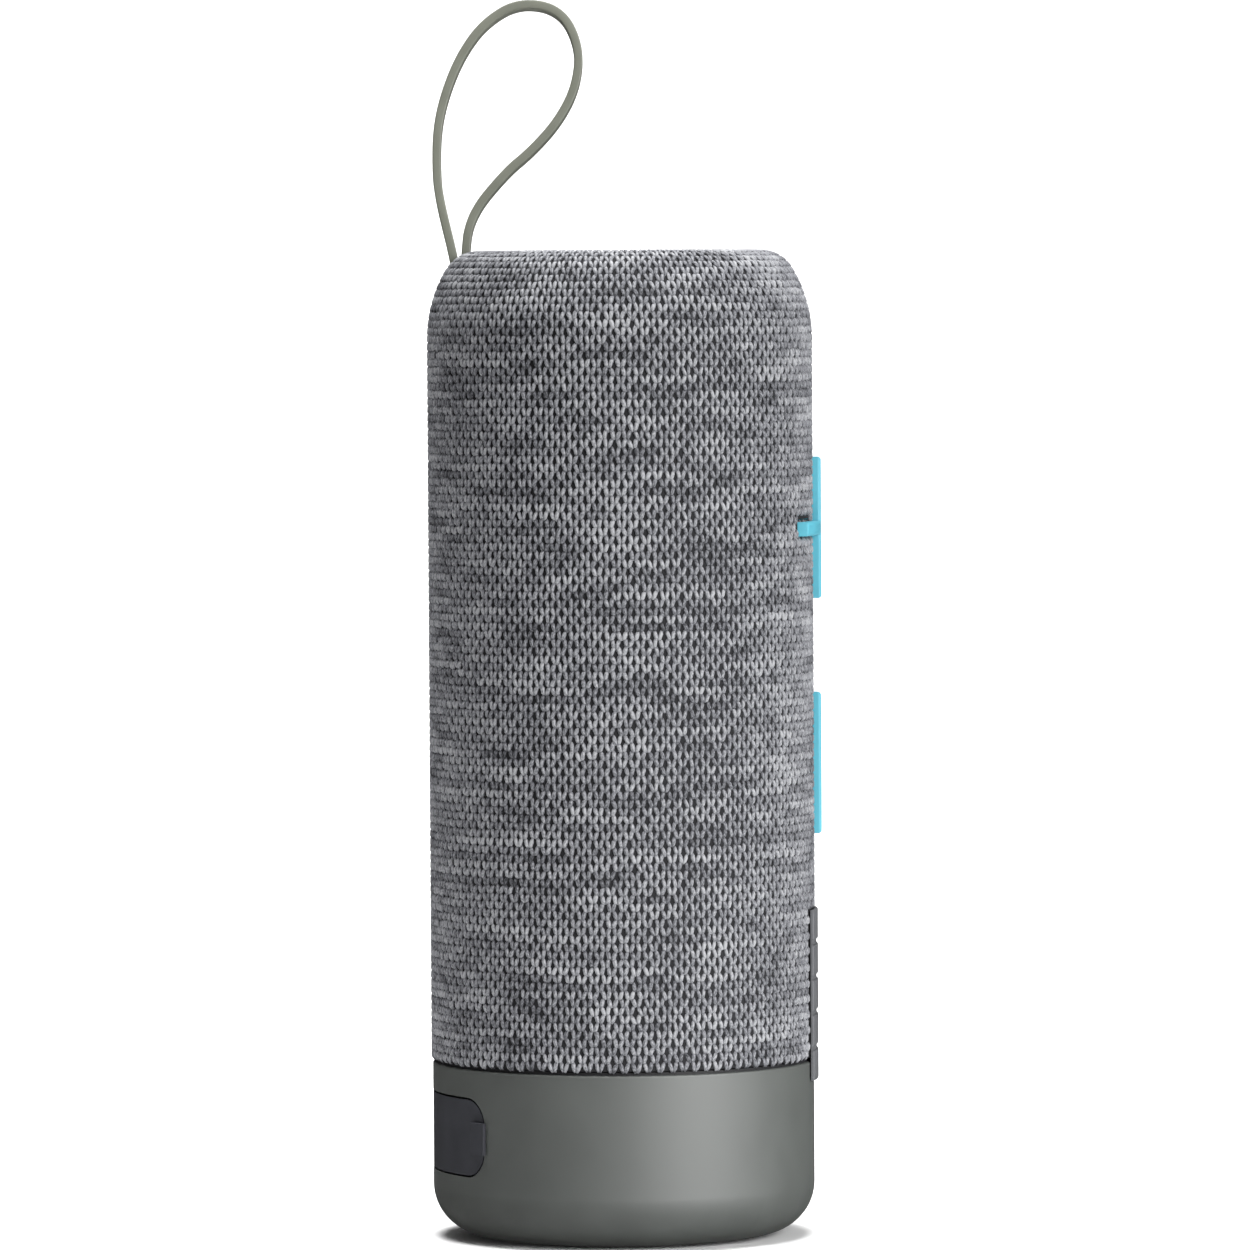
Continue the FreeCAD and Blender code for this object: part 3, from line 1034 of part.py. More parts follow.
def main():
    nodes = [
        foot_pad(), base_cap(), base_screws(), port_bezel(), port_cover(), flap_pin(), usb_socket(),
        aux_jack(), main_board(), bluetooth_module(), amplifier_chip(), power_inductors(),
        supply_capacitors(), chassis(), grille_tube(), fabric_sleeve(), badge(), *volume_keys(),
        button_board(), button_switches(), *sound_units(), mount_gaskets(), mount_screws(), battery(),
        battery_cradle(), battery_board(), chassis_lid(), lid_screws(), top_cap(), cap_screws(),
        top_trim(), top_key("power_button", "power_dia", "power_stem", "0"),
        top_key("pair_button", "pair_dia", "pair_stem", "pair_forward"), top_board(), top_switches(),
        status_led(), light_guide(), strap(), strap_anchor(), strap_pin()]
    doc.recompute()
    for thing in doc.Objects:
        if "Invalid" in thing.State or "Error" in thing.State:
            raise RuntimeError(f"{thing.Name} failed: {thing.State}")
    for node in nodes:
        if node.Shape.isNull() or not node.Shape.isValid() or not node.Shape.Solids:
            raise RuntimeError(f"{node.Name} has no valid shape")
    os.makedirs("parts", exist_ok=True)
    for node in nodes:
        node.Label = node.Name
        node.Shape.exportStep(f"parts/{node.Label}.step")
    print(len(nodes), "sub-parts")


main()
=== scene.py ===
import json
import math

import bmesh
import bpy
from bpy.props import FloatProperty, FloatVectorProperty, IntProperty, PointerProperty
from mathutils import Matrix, Vector


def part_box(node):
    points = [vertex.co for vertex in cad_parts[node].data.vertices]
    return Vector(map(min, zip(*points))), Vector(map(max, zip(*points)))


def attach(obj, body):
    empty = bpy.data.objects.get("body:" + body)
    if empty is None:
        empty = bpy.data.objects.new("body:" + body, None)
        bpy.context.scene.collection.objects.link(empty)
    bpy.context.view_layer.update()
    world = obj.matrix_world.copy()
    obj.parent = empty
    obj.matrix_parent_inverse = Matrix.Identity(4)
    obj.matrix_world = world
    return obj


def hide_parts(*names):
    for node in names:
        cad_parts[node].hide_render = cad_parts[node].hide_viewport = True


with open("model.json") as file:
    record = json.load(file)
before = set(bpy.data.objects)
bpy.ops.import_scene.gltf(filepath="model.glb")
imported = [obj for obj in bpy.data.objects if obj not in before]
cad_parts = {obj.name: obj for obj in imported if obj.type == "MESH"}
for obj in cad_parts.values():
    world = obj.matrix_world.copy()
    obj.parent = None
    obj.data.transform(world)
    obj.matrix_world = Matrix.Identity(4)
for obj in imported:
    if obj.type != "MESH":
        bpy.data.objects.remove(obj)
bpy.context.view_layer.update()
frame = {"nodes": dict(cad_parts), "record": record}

bl_info = {
    "name": "Bluetooth speaker",
    "version": (1, 0, 0),
    "blender": (4, 5, 0),
    "location": "View3D > Sidebar > Speaker",
    "description": "Dresses the speaker's frame in its knitted sleeve, base, keys and strap",
    "category": "Object",
}

MM = 0.001
NODES = frame["nodes"]

# The sleeve's outline, taken from the sleeve's own box.
SLEEVE_LOW, SLEEVE_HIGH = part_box("fabric_sleeve")
BODY_RADIUS = SLEEVE_HIGH.x
BODY_TOP = SLEEVE_HIGH.z
SLEEVE_FOOT = SLEEVE_LOW.z
TRIM_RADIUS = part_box("top_trim")[1].x
SHOULDER_WIDE = 9.0 * MM
SHOULDER_TALL = 15.5 * MM
CREST_ROUND = 6.5 * MM
LIP_GAP = 0.5 * MM  # between the sleeve's turned-in lip and the trim disc
LIP_ROUND = 0.9 * MM
WELD = 0.002 * MM  # corners of a CAD mesh closer than this are one corner

# The strap's route in its own leaning plane: how far back and how high, from end to end.
STRAP_ROUTE = [
    (0.0288, 0.1696), (0.02885, 0.1716), (0.0316, 0.18285), (0.03215, 0.1879), (0.0320, 0.1958),
    (0.03045, 0.2023), (0.0277, 0.2089), (0.02355, 0.2146), (0.0173, 0.2183), (0.00995, 0.2168),
    (0.0067, 0.2101), (0.0074, 0.2030), (0.01065, 0.19675), (0.01565, 0.1913), (0.01975, 0.1880),
    (0.0264, 0.1800), (0.0272, 0.1716), (0.02715, 0.1696)]
STRAP_LEAN = math.radians(7.5)
STRAP_PIVOT = 0.172


# ---------------------------------------------------------------- colours, nodes, materials

def to_linear(colour):
    """An sRGB hex colour as the linear values that a shader takes. A colour that comes from a
    setting is linear already."""
    if not isinstance(colour, str):
        return tuple(colour)
    shares = [int(colour[i:i + 2], 16) / 255 for i in (1, 3, 5)]
    linear = [p / 12.92 if p <= 0.04045 else ((p + 0.055) / 1.055) ** 2.4 for p in shares]
    return (*linear, 1.0)


def times(colour, factors):
    """A colour's linear values, each times its factor."""
    return tuple(part * factor for part, factor in zip(to_linear(colour)[:3], factors)) + (1.0,)


def lighter(colour, share):
    return times(colour, (share, share, share))


def add_node(tree, kind, settings=None, **inputs):
    """Adds a node with its settings, and its inputs as values or as links from other outputs."""
    node = tree.nodes.new(kind)
    for name, setting in (settings or {}).items():
        setattr(node, name, setting)
    for name, given in inputs.items():
        key = int(name[1:]) if name[0] == "i" and name[1:].isdigit() else name.replace("_", " ")
        socket = node.inputs[key]
        if isinstance(given, bpy.types.NodeSocket):
            tree.links.new(given, socket)
        else:
            socket.default_value = given
    return node


def ramp(tree, factor, stops):
    """A colour ramp through (place, colour) stops."""
    node = add_node(tree, "ShaderNodeValToRGB", Fac=factor)
    points = node.color_ramp.elements
    while len(points) < len(stops):
        points.new(0.5)
    for point, (spot, colour) in zip(points, stops):
        point.position = spot
        point.color = to_linear(colour)
    return node.outputs["Color"]


def start_material(name, **shader):
    """A new material with one principled shader, and a way to reach its tree."""
    material = bpy.data.materials.new(name)
    material.use_nodes = True
    tree = material.node_tree
    tree.nodes.clear()
    principled = add_node(tree, "ShaderNodeBsdfPrincipled")
    for socket, given in shader.items():
        principled.inputs[socket.replace("_", " ")].default_value = given
    output = add_node(tree, "ShaderNodeOutputMaterial")
    tree.links.new(principled.outputs["BSDF"], output.inputs["Surface"])
    return material, tree, principled


def grain(tree, principled, size_mm, height_mm):
    """A fine moulded or painted grain as bump, from the grain's real size and height. Returns the
    coordinates, for the material's other patterns."""
    place = add_node(tree, "ShaderNodeTexCoord").outputs["Object"]
    noise = add_node(tree, "ShaderNodeTexNoise", Vector=place, Scale=1 / (size_mm * MM),
                     Detail=3.0, Roughness=0.6)
    bump = add_node(tree, "ShaderNodeBump", Height=noise.outputs["Fac"], Distance=height_mm * MM)
    tree.links.new(bump.outputs["Normal"], principled.inputs["Normal"])
    return place


def uneven(tree, place, principled, low, high, size_mm, spread=0.05, mean=0.5):
    """Colour and roughness that wander a little, as handling and moulding leave them."""
    cloud = add_node(tree, "ShaderNodeTexNoise", Vector=place, Scale=1 / (size_mm * MM),
                     Detail=4.0)
    tree.links.new(ramp(tree, cloud.outputs["Fac"], [(0.3, low), (0.7, high)]),
                   principled.inputs["Base Color"])
    rough = add_node(tree, "ShaderNodeMapRange", Value=cloud.outputs["Fac"], i1=0.3, i2=0.7,
                     i3=mean - spread, i4=mean + spread)
    tree.links.new(rough.outputs["Result"], principled.inputs["Roughness"])


def soft_touch_paint(colour):
    """Soft-touch painted ABS: a velvety satin with a broad highlight and a fine spray grain."""
    material, tree, shader = start_material("soft_touch_painted_abs", IOR=1.5,
                                            Specular_IOR_Level=1.0, Coat_Weight=1.0,
                                            Coat_Roughness=0.62, Coat_IOR=1.85)
    place = grain(tree, shader, size_mm=0.16, height_mm=0.012)
    uneven(tree, place, shader, colour, lighter(colour, 1.16), size_mm=7, spread=0.03, mean=0.64)
    return material


def moulded_silicone(name, low, high, roughness, grain_mm=0.2):
    """Moulded silicone rubber: satin and a little waxy, with a fine spark-eroded mould grain."""
    material, tree, shader = start_material(name, IOR=1.42, Specular_IOR_Level=0.5)
    place = grain(tree, shader, size_mm=grain_mm, height_mm=0.01)
    uneven(tree, place, shader, low, high, size_mm=5, spread=0.04, mean=roughness)
    return material


def moulded_plastic(name, low, high, roughness=0.55, grain_mm=0.3):
    """Moulded ABS with a spark-eroded texture, which breaks the shine into fine points."""
    material, tree, shader = start_material(name, IOR=1.5, Specular_IOR_Level=0.45)
    place = grain(tree, shader, size_mm=grain_mm, height_mm=0.02)
    uneven(tree, place, shader, low, high, size_mm=9, spread=0.05, mean=roughness)
    return material


def plated_steel(name, colour):
    """Zinc or nickel plated steel: bright metal, slightly hazed by the plating."""
    material, tree, shader = start_material(name, Metallic=1.0)
    place = grain(tree, shader, size_mm=0.5, height_mm=0.004)
    uneven(tree, place, shader, colour, "#d4d3cf", size_mm=2, spread=0.07, mean=0.3)
    return material


def knit_backing():
    """Black foam-backed jersey under the knit: dead matt and near black, partly its own colour and
    partly painted shade, so holes between stitches read dark.
    """
    material, tree, shader = start_material("foam_backed_jersey", Roughness=0.95)
    place = grain(tree, shader, size_mm=0.4, height_mm=0.06)
    uneven(tree, place, shader, "#18181a", "#242427", size_mm=3, spread=0.02, mean=0.94)
    return material


def melange_yarn(tint):
    """Textured polyester yarn, dope-dyed in mixed greys: soft lobes of fine filaments with a dull
    sheen, each stitch a little lighter or darker than the next, in streaks along the rows."""
    material, tree, shader = start_material("melange_polyester_yarn", Roughness=0.62, IOR=1.5,
                                            Sheen_Weight=0.12, Sheen_Roughness=0.5)
    shader.inputs["Sheen Tint"].default_value = to_linear("#d8dae0")
    own_contrast, filament_contrast, flank_shade_contrast, flank_shade_middle = 0.26, 2.0, 0.5, 0.64
    tone = add_node(tree, "ShaderNodeAttribute", {"attribute_name": "tone"})
    side = add_node(tree, "ShaderNodeAttribute", {"attribute_name": "arm"}).outputs["Fac"]
    parts = add_node(tree, "ShaderNodeSeparateXYZ", Vector=tone.outputs["Vector"])
    own = add_node(tree, "ShaderNodeMix", {"data_type": "FLOAT"}, Factor=side,
                   A=parts.outputs["Y"], B=parts.outputs["Z"])
    own_share = add_node(tree, "ShaderNodeMath", {"operation": "MULTIPLY_ADD"}, i0=own.outputs[0],
                         i1=own_contrast, i2=-own_contrast / 2)
    streak = add_node(tree, "ShaderNodeMath", {"operation": "ADD"}, i0=parts.outputs["X"],
                      i1=own_share.outputs[0])
    # Bundles of filaments run along each lobe. The map counts them round the girth, a few coarse
    # bundles where the real yarn has dozens, because finer ones would not show at all.
    place = add_node(tree, "ShaderNodeUVMap", {"uv_map": "yarn"}).outputs["UV"]
    # The stitch's own tone also moves the pattern, so that no two stitches are alike.
    shift = add_node(tree, "ShaderNodeVectorMath", {"operation": "SCALE"},
                     i0=tone.outputs["Vector"], Scale=31.0).outputs[0]
    along = add_node(tree, "ShaderNodeVectorMath", {"operation": "MULTIPLY_ADD"}, i0=place,
                     i1=(12.0, 5.0, 1.0), i2=shift)
    fibres = add_node(tree, "ShaderNodeTexNoise", Vector=along.outputs[0], Scale=1.0, Detail=4.0)
    shade = add_node(tree, "ShaderNodeMath", {"operation": "MULTIPLY_ADD"},
                     i0=fibres.outputs["Fac"], i1=filament_contrast, i2=-filament_contrast / 2)
    # Painted shade: the flanks of a lobe lie between its neighbours, so their colour is painted
    # darker than the crown's, for the shade that the neighbours cast there.
    crown = add_node(tree, "ShaderNodeAttribute", {"attribute_name": "height"}).outputs["Fac"]
    painted_flank_shade = add_node(tree, "ShaderNodeMath", {"operation": "MULTIPLY_ADD"}, i0=crown,
                    i1=flank_shade_contrast, i2=-flank_shade_contrast * flank_shade_middle)
    filaments_and_painted_shade = add_node(tree, "ShaderNodeMath", {"operation": "ADD"}, i0=shade.outputs[0],
                    i1=painted_flank_shade.outputs[0])
    total = add_node(tree, "ShaderNodeMath", {"operation": "ADD", "use_clamp": True},
                     i0=streak.outputs[0], i1=filaments_and_painted_shade.outputs[0])
    greys = ((0.0, "#242528"), (0.3, "#4c4d52"), (0.55, "#6c6d72"), (0.8, "#838488"),
             (1.0, "#9a9b9e"))
    colour = ramp(tree, total.outputs[0], [(spot, times(grey, tint)) for spot, grey in greys])
    tree.links.new(colour, shader.inputs["Base Color"])
    bump = add_node(tree, "ShaderNodeBump", Height=fibres.outputs["Fac"], Strength=0.7,
                    Distance=0.05 * MM)
    tree.links.new(bump.outputs["Normal"], shader.inputs["Normal"])
    return material


def printed_board():
    """Glass-epoxy board under green solder mask, with faint copper pours beneath the gloss."""
    material, tree, shader = start_material("solder_masked_board", IOR=1.5)
    place = grain(tree, shader, size_mm=0.6, height_mm=0.01)
    uneven(tree, place, shader, "#0f4a2a", "#17603a", size_mm=4, spread=0.05, mean=0.3)
    return material


# ---------------------------------------------------------------- mesh helpers

def link_object(name, data):
    thing = bpy.data.objects.new(name, data)
    bpy.context.scene.collection.objects.link(thing)
    return thing


def bake_shape(thing):
    """Turns the object's evaluated shape into its plain mesh, and takes its modifiers away."""
    graph = bpy.context.evaluated_depsgraph_get()
    mesh = bpy.data.meshes.new_from_object(thing.evaluated_get(graph), depsgraph=graph)
    mesh.name = thing.name
    old = thing.data
    thing.modifiers.clear()
    thing.data = mesh
    if not old.users:
        bpy.data.meshes.remove(old)


def smooth(mesh, angle=30):
    mesh.shade_smooth()
    mesh.set_sharp_from_angle(angle=math.radians(angle))


def merged_copy(node, name, material, flatten=0.0):
    """An object with a CAD piece's surface, its loose triangles merged and smoothly shaded. A
    flatten angle joins the triangles that lie within it of one plane."""
    mesh = NODES[node].data.copy()
    mesh.name = name
    work = bmesh.new()
    work.from_mesh(mesh)
    bmesh.ops.remove_doubles(work, verts=work.verts, dist=WELD)
    if flatten:
        bmesh.ops.dissolve_limit(work, angle_limit=flatten, verts=work.verts, edges=work.edges)
    work.to_mesh(mesh)
    work.free()
    mesh.materials.clear()
    mesh.materials.append(material)
    smooth(mesh)
    return link_object(name, mesh)


def finished_copy(node, name, material, body, bevel_mm=0.0, segments=2):
    """Takes a CAD piece's place with its own surface, softened along the edges."""
    piece = merged_copy(node, name, material, math.radians(0.3))
    if bevel_mm:
        bevel = piece.modifiers.new("edges", "BEVEL")
        bevel.width = bevel_mm * MM
        bevel.segments = segments
        bevel.limit_method = "ANGLE"
        bevel.angle_limit = math.radians(30)
        bevel.harden_normals = True
    weight = piece.modifiers.new("normals", "WEIGHTED_NORMAL")
    weight.keep_sharp = True
    bake_shape(piece)
    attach(piece, body)
    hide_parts(node)


def shoulder_profile():
    """(radius, height) points of the sleeve's outside, from the seam up and in to the trim."""
    wide, tall, crest = SHOULDER_WIDE, SHOULDER_TALL, CREST_ROUND
    long_arc = (wide ** 2 + tall ** 2 - 2 * tall * crest) / (2 * (wide - crest))
    foot = BODY_TOP - tall
    low_centre = Vector((BODY_RADIUS - long_arc, foot))
    high_centre = Vector((BODY_RADIUS - wide, BODY_TOP - crest))
    join = math.atan2(high_centre.y - low_centre.y, high_centre.x - low_centre.x)
    points = [Vector((BODY_RADIUS, SLEEVE_FOOT)), Vector((BODY_RADIUS, foot))]
    steps = 12
    points += [low_centre + long_arc * Vector((math.cos(a), math.sin(a)))
               for a in (join * i / steps for i in range(1, steps + 1))]
    points += [high_centre + crest * Vector((math.cos(a), math.sin(a)))
               for a in (join + (math.pi / 2 - join) * i / steps for i in range(1, steps + 1))]
    lip = TRIM_RADIUS + LIP_GAP
    turn = LIP_ROUND
    points.append(Vector((lip + turn, BODY_TOP)))
    points += [Vector((lip + turn - turn * math.sin(a), BODY_TOP - turn + turn * math.cos(a)))
               for a in (math.pi / 2 * i / 4 for i in range(1, 5))]
    return points


# ---------------------------------------------------------------- settings

def colour_setting(name, hex_colour, description):
    return FloatVectorProperty(name=name, default=to_linear(hex_colour), size=4, min=0.0, max=1.0,
                               subtype="COLOR", description=description)


class ColourSettings(bpy.types.PropertyGroup):
    """Colours of the pieces that show"""
    base: colour_setting("Base", "#3f4440", "Soft-touch paint of the base and the top disc")
    yarn_tint: colour_setting("Yarn tint", "#ffffff", "Tints the mixed greys of the yarn")
    strap: colour_setting("Strap", "#6a6c62", "Silicone of the carrying strap")
    cover: colour_setting("Port cover", "#323338", "Silicone of the port cover")
    keys: colour_setting("Volume keys", "#519fb1", "Silicone of the volume keys")
    top_keys: colour_setting("Top keys", "#4a4c4b", "Silicone of the power and pairing keys")
    badge: colour_setting("Badge", "#5b5c5f", "Plastic of the badge strip")
    foot: colour_setting("Foot", "#1b1b1d", "Rubber of the foot pad")


class SleeveSettings(bpy.types.PropertyGroup):
    """Sizes of the knit"""
    columns: IntProperty(name="Columns", default=100, min=20,
                         description="Stitches round the sleeve")
    row_height: FloatProperty(name="Row height", default=1.386 * MM, unit="LENGTH",
                              description="From one row of stitches to the next")
    relief: FloatProperty(name="Relief", default=0.38 * MM, unit="LENGTH",
                          description="How far the backing lies under the sleeve's outside")
    bed: FloatProperty(name="Bed", default=0.36 * MM, unit="LENGTH",
                       description="How far the stitches' middles lie under the sleeve's outside")
    hem: FloatProperty(name="Hem", default=0.9 * MM, unit="LENGTH",
                       description="From the sleeve's foot to its first row of stitches")
    clearance: FloatProperty(name="Clearance", default=0.62 * MM, unit="LENGTH",
                             description="How far stitches stop short of keys, badge and strap")
    seed: IntProperty(name="Seed", default=7, description="Seed of the yarn's colour changes")


class StrapSettings(bpy.types.PropertyGroup):
    """Sizes of the strap's band"""
    wide: FloatProperty(name="Width", default=4 * MM, unit="LENGTH",
                        description="Width of the band")
    thick: FloatProperty(name="Thickness", default=1.55 * MM, unit="LENGTH",
                         description="Thickness of the band")
    edge: FloatProperty(name="Edge round", default=0.25 * MM, unit="LENGTH",
                        description="Radius along the band's edges")


class StageSettings(bpy.types.PropertyGroup):
    """Place and lens of the camera"""
    distance: FloatProperty(name="Distance", default=1.5249, unit="LENGTH",
                            description="From the speaker's axis to the camera")
    height: FloatProperty(name="Height", default=0.167265, unit="LENGTH",
                          description="Height of the camera above the floor")
    lens: FloatProperty(name="Lens", default=248.591, description="Focal length in millimetres")
    down: FloatProperty(name="Tilt down", default=math.radians(2.23336), subtype="ANGLE",
                        description="How far the camera looks down")
    pan: FloatProperty(name="Pan", default=math.radians(0.025888), subtype="ANGLE",
                       description="How far the camera turns to its right")
    roll: FloatProperty(name="Roll", default=-0.0057, subtype="ANGLE",
                        description="How far the camera is rolled")


# ---------------------------------------------------------------- stage

def aim(thing, place, target):
    thing.location = place
    thing.rotation_euler = (Vector(target) - Vector(place)).to_track_quat("-Z", "Y").to_euler()


def soft_box(name, place, target, wide, tall, power):
    light = bpy.data.lights.new(name, "AREA")
    light.shape = "RECTANGLE"
    light.size = wide
    light.size_y = tall
    light.energy = power
    aim(link_object(name, light), place, target)


def paper_sweep(material):
    """A roll of paper that lies flat under the speaker and curves up behind it."""
    half, near, flat, bend, wall = 0.32, -0.3, 1.2, 0.6, 1.0
    profile = [(near, 0.0), (flat, 0.0)]
    profile += [(flat + bend * math.sin(a), bend - bend * math.cos(a))
                for a in (math.pi / 2 * i / 16 for i in range(1, 17))]
    profile.append((flat + bend, wall))
    work = bmesh.new()
    rails = [[work.verts.new((x, side * half, z)) for x, z in profile] for side in (-1, 1)]
    for i in range(len(profile) - 1):
        work.faces.new((rails[0][i], rails[0][i + 1], rails[1][i + 1], rails[1][i]))
    mesh = bpy.data.meshes.new("floor")
    work.to_mesh(mesh)
    work.free()
    mesh.shade_smooth()
    mesh.materials.append(material)
    return mesh


class SPEAKER_OT_stage(bpy.types.Operator):
    """Camera, floor and soft studio light"""
    bl_idname = "speaker.stage"
    bl_label = "Stage"

    def execute(self, context):
        settings = context.scene.speaker_stage
        scene = context.scene
        camera = link_object("camera", bpy.data.cameras.new("camera"))
        camera.data.lens = settings.lens
        camera.data.sensor_width = 36.0
        camera.data.clip_end = 20.0
        camera.location = (-settings.distance, 0.0, settings.height)
        look = Matrix.Rotation(-settings.pan, 4, "Z") @ Matrix.Rotation(-math.pi / 2, 4, "Z")
        tilt = Matrix.Rotation(math.pi / 2 - settings.down, 4, "X")
        roll = Matrix.Rotation(settings.roll, 4, "Z")
        camera.matrix_world = Matrix.Translation(camera.location) @ look @ tilt @ roll
        scene.camera = camera
        scene.view_settings.view_transform = "Standard"

        material, tree, shader = start_material("matt_studio_paper", Roughness=0.9)
        place = grain(tree, shader, size_mm=2, height_mm=0.05)
        uneven(tree, place, shader, "#fafafa", "#fdfdfd", size_mm=80, spread=0.02, mean=0.9)
        floor = link_object("floor", paper_sweep(material))
        floor.visible_glossy = False  # keeps the pale floor out of the satin highlights

        middle = (0.0, 0.0, 0.1)
        soft_box("key_light", (-0.93, -0.96, 0.45), middle, 0.9, 1.1, 26.0)
        soft_box("fill_light", (-1.6, -0.1, 0.9), middle, 0.8, 0.6, 0.5)
        soft_box("top_light", (-0.1, 0.06, 1.25), middle, 0.6, 0.6, 21.0)
        soft_box("backdrop_light", (0.9, 0.0, 1.7), (1.4, 0.0, 0.2), 1.0, 0.6, 34.0)

        world = bpy.data.worlds.new("studio")
        world.use_nodes = True
        tree = world.node_tree
        tree.nodes.clear()
        # White to the camera all round the paper, and nearly dark to everything else.
        seen = add_node(tree, "ShaderNodeLightPath").outputs["Is Camera Ray"]
        strength = add_node(tree, "ShaderNodeMix", {"data_type": "FLOAT"}, Factor=seen,
                            A=0.06, B=1.0)
        sky = add_node(tree, "ShaderNodeBackground", Color=(1.0, 1.0, 1.0, 1.0),
                       Strength=strength.outputs[0])
        add_node(tree, "ShaderNodeOutputWorld", Surface=sky.outputs[0])
        scene.world = world
        return {"FINISHED"}


# ---------------------------------------------------------------- strap

def strap_line():
    """The strap's smooth centre line, as the points of its spline."""
    curve = bpy.data.curves.new("strap_line", "CURVE")
    curve.dimensions = "3D"
    spline = curve.splines.new("NURBS")
    spline.points.add(len(STRAP_ROUTE) - 1)
    for point, (back, up) in zip(spline.points, STRAP_ROUTE):
        rise = up - STRAP_PIVOT
        aside, height = rise * math.sin(STRAP_LEAN), rise * math.cos(STRAP_LEAN)
        point.co = (aside, back, STRAP_PIVOT + height, 1.0)
    spline.order_u = 3
    spline.use_endpoint_u = True
    spline.resolution_u = 12
    line = link_object("strap_line", curve)
    graph = bpy.context.evaluated_depsgraph_get()
    mesh = bpy.data.meshes.new_from_object(line.evaluated_get(graph), depsgraph=graph)
    points = [vertex.co.copy() for vertex in mesh.vertices]
    bpy.data.objects.remove(line)
    return points


def rounded_section(wide, thick, edge, steps=3):
    """A rectangle with rounded corners, as (across, through) points."""
    section = []
    for a, b, start in ((1, 1, 0), (-1, 1, 1), (-1, -1, 2), (1, -1, 3)):
        for i in range(steps + 1):
            angle = math.pi / 2 * (start + i / steps)
            section.append((a * (wide / 2 - edge) + edge * math.cos(angle),
                            b * (thick / 2 - edge) + edge * math.sin(angle)))
    return section


class SPEAKER_OT_strap(bpy.types.Operator):
    """Moulded carrying strap, a flat band along its route"""
    bl_idname = "speaker.strap"
    bl_label = "Strap"

    def execute(self, context):
        settings = context.scene.speaker_strap
        points = strap_line()
        across = Vector((math.cos(STRAP_LEAN), 0.0, -math.sin(STRAP_LEAN)))
        section = rounded_section(settings.wide, settings.thick, settings.edge)
        work = bmesh.new()
        uv = work.loops.layers.uv.new("UVMap")
        rings = []
        for number, point in enumerate(points):
            before, after = points[max(number - 1, 0)], points[min(number + 1, len(points) - 1)]
            heading = (after - before).normalized()
            through = heading.cross(across)
            rings.append([work.verts.new(point + across * a + through * b) for a, b in section])
        count = len(section)
        for number in range(len(rings) - 1):
            for i in range(count):
                face = work.faces.new((rings[number][i], rings[number][(i + 1) % count],
                                       rings[number + 1][(i + 1) % count], rings[number + 1][i]))
                for loop, (u, v) in zip(face.loops, ((i, 0), (i + 1, 0), (i + 1, 1), (i, 1))):
                    loop[uv].uv = (u / count, (number + v) / len(rings))
        work.faces.new(reversed(rings[0]))
        work.faces.new(rings[-1])
        bmesh.ops.recalc_face_normals(work, faces=work.faces)
        mesh = bpy.data.meshes.new("strap_band")
        work.to_mesh(mesh)
        work.free()
        colour = context.scene.speaker_colours.strap
        mesh.materials.append(
            moulded_silicone("strap_silicone", colour, lighter(colour, 1.148), 0.42))
        smooth(mesh, 40)
        band = link_object("strap_band", mesh)
        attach(band, "housing")
        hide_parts("strap")
        return {"FINISHED"}


# ---------------------------------------------------------------- sleeve

def stitch_mesh():
    """One stitch: two yarn lobes that open upwards from a shared point. X runs round the sleeve,
    Y up it and Z out of it."""
    # Along a lobe: across, up, out, half width and half height, in millimetres.
    stations = [(0.13, -0.98, -0.18, 0.27, 0.18), (0.33, -0.36, 0.14, 0.42, 0.30),
                (0.55, 0.34, 0.12, 0.43, 0.30), (0.76, 1.08, -0.22, 0.28, 0.18)]
    sides, start, flatter, slant = 5, 0.75, 0.95, 0.33
    lowest, tallest = -0.3, 0.72
    work = bmesh.new()
    uv = work.loops.layers.uv.new("yarn")
    arm = work.verts.layers.float.new("arm")
    height = work.verts.layers.float.new("height")
    for side in (-1, 1):
        rings = []
        for across, up, out, half_wide, half_tall in stations:
            ring = []
            for i in range(sides):
                angle = 2 * math.pi * (i + start) / sides
                sideways, outwards = half_wide * math.cos(angle), half_tall * math.sin(angle)
                vertex = work.verts.new((side * (across + sideways * flatter) * MM,
                                         (up - sideways * slant) * MM, (out + outwards) * MM))
                vertex[arm] = (side + 1) / 2
                # The height within the lobe, which the yarn's material turns into painted shade on
                # the flanks.
                vertex[height] = (out + outwards - lowest) / tallest
                ring.append(vertex)
            rings.append(ring)
        for number in range(len(rings) - 1):
            for i in range(sides):
                j = (i + 1) % sides
                corners = [rings[number][i], rings[number][j], rings[number + 1][j],
                           rings[number + 1][i]]
                places = [(i, number), (i + 1, number), (i + 1, number + 1), (i, number + 1)]
                face = work.faces.new(corners)
                for loop, (u, v) in zip(face.loops, places):
                    loop[uv].uv = (u / sides, v / (len(rings) - 1) + (side + 1) * 2)
        work.faces.new(list(reversed(rings[0])))
        work.faces.new(rings[-1])
    bmesh.ops.recalc_face_normals(work, faces=work.faces)
    mesh = bpy.data.meshes.new("stitch")
    work.to_mesh(mesh)
    work.free()
    mesh.shade_smooth()
    return mesh


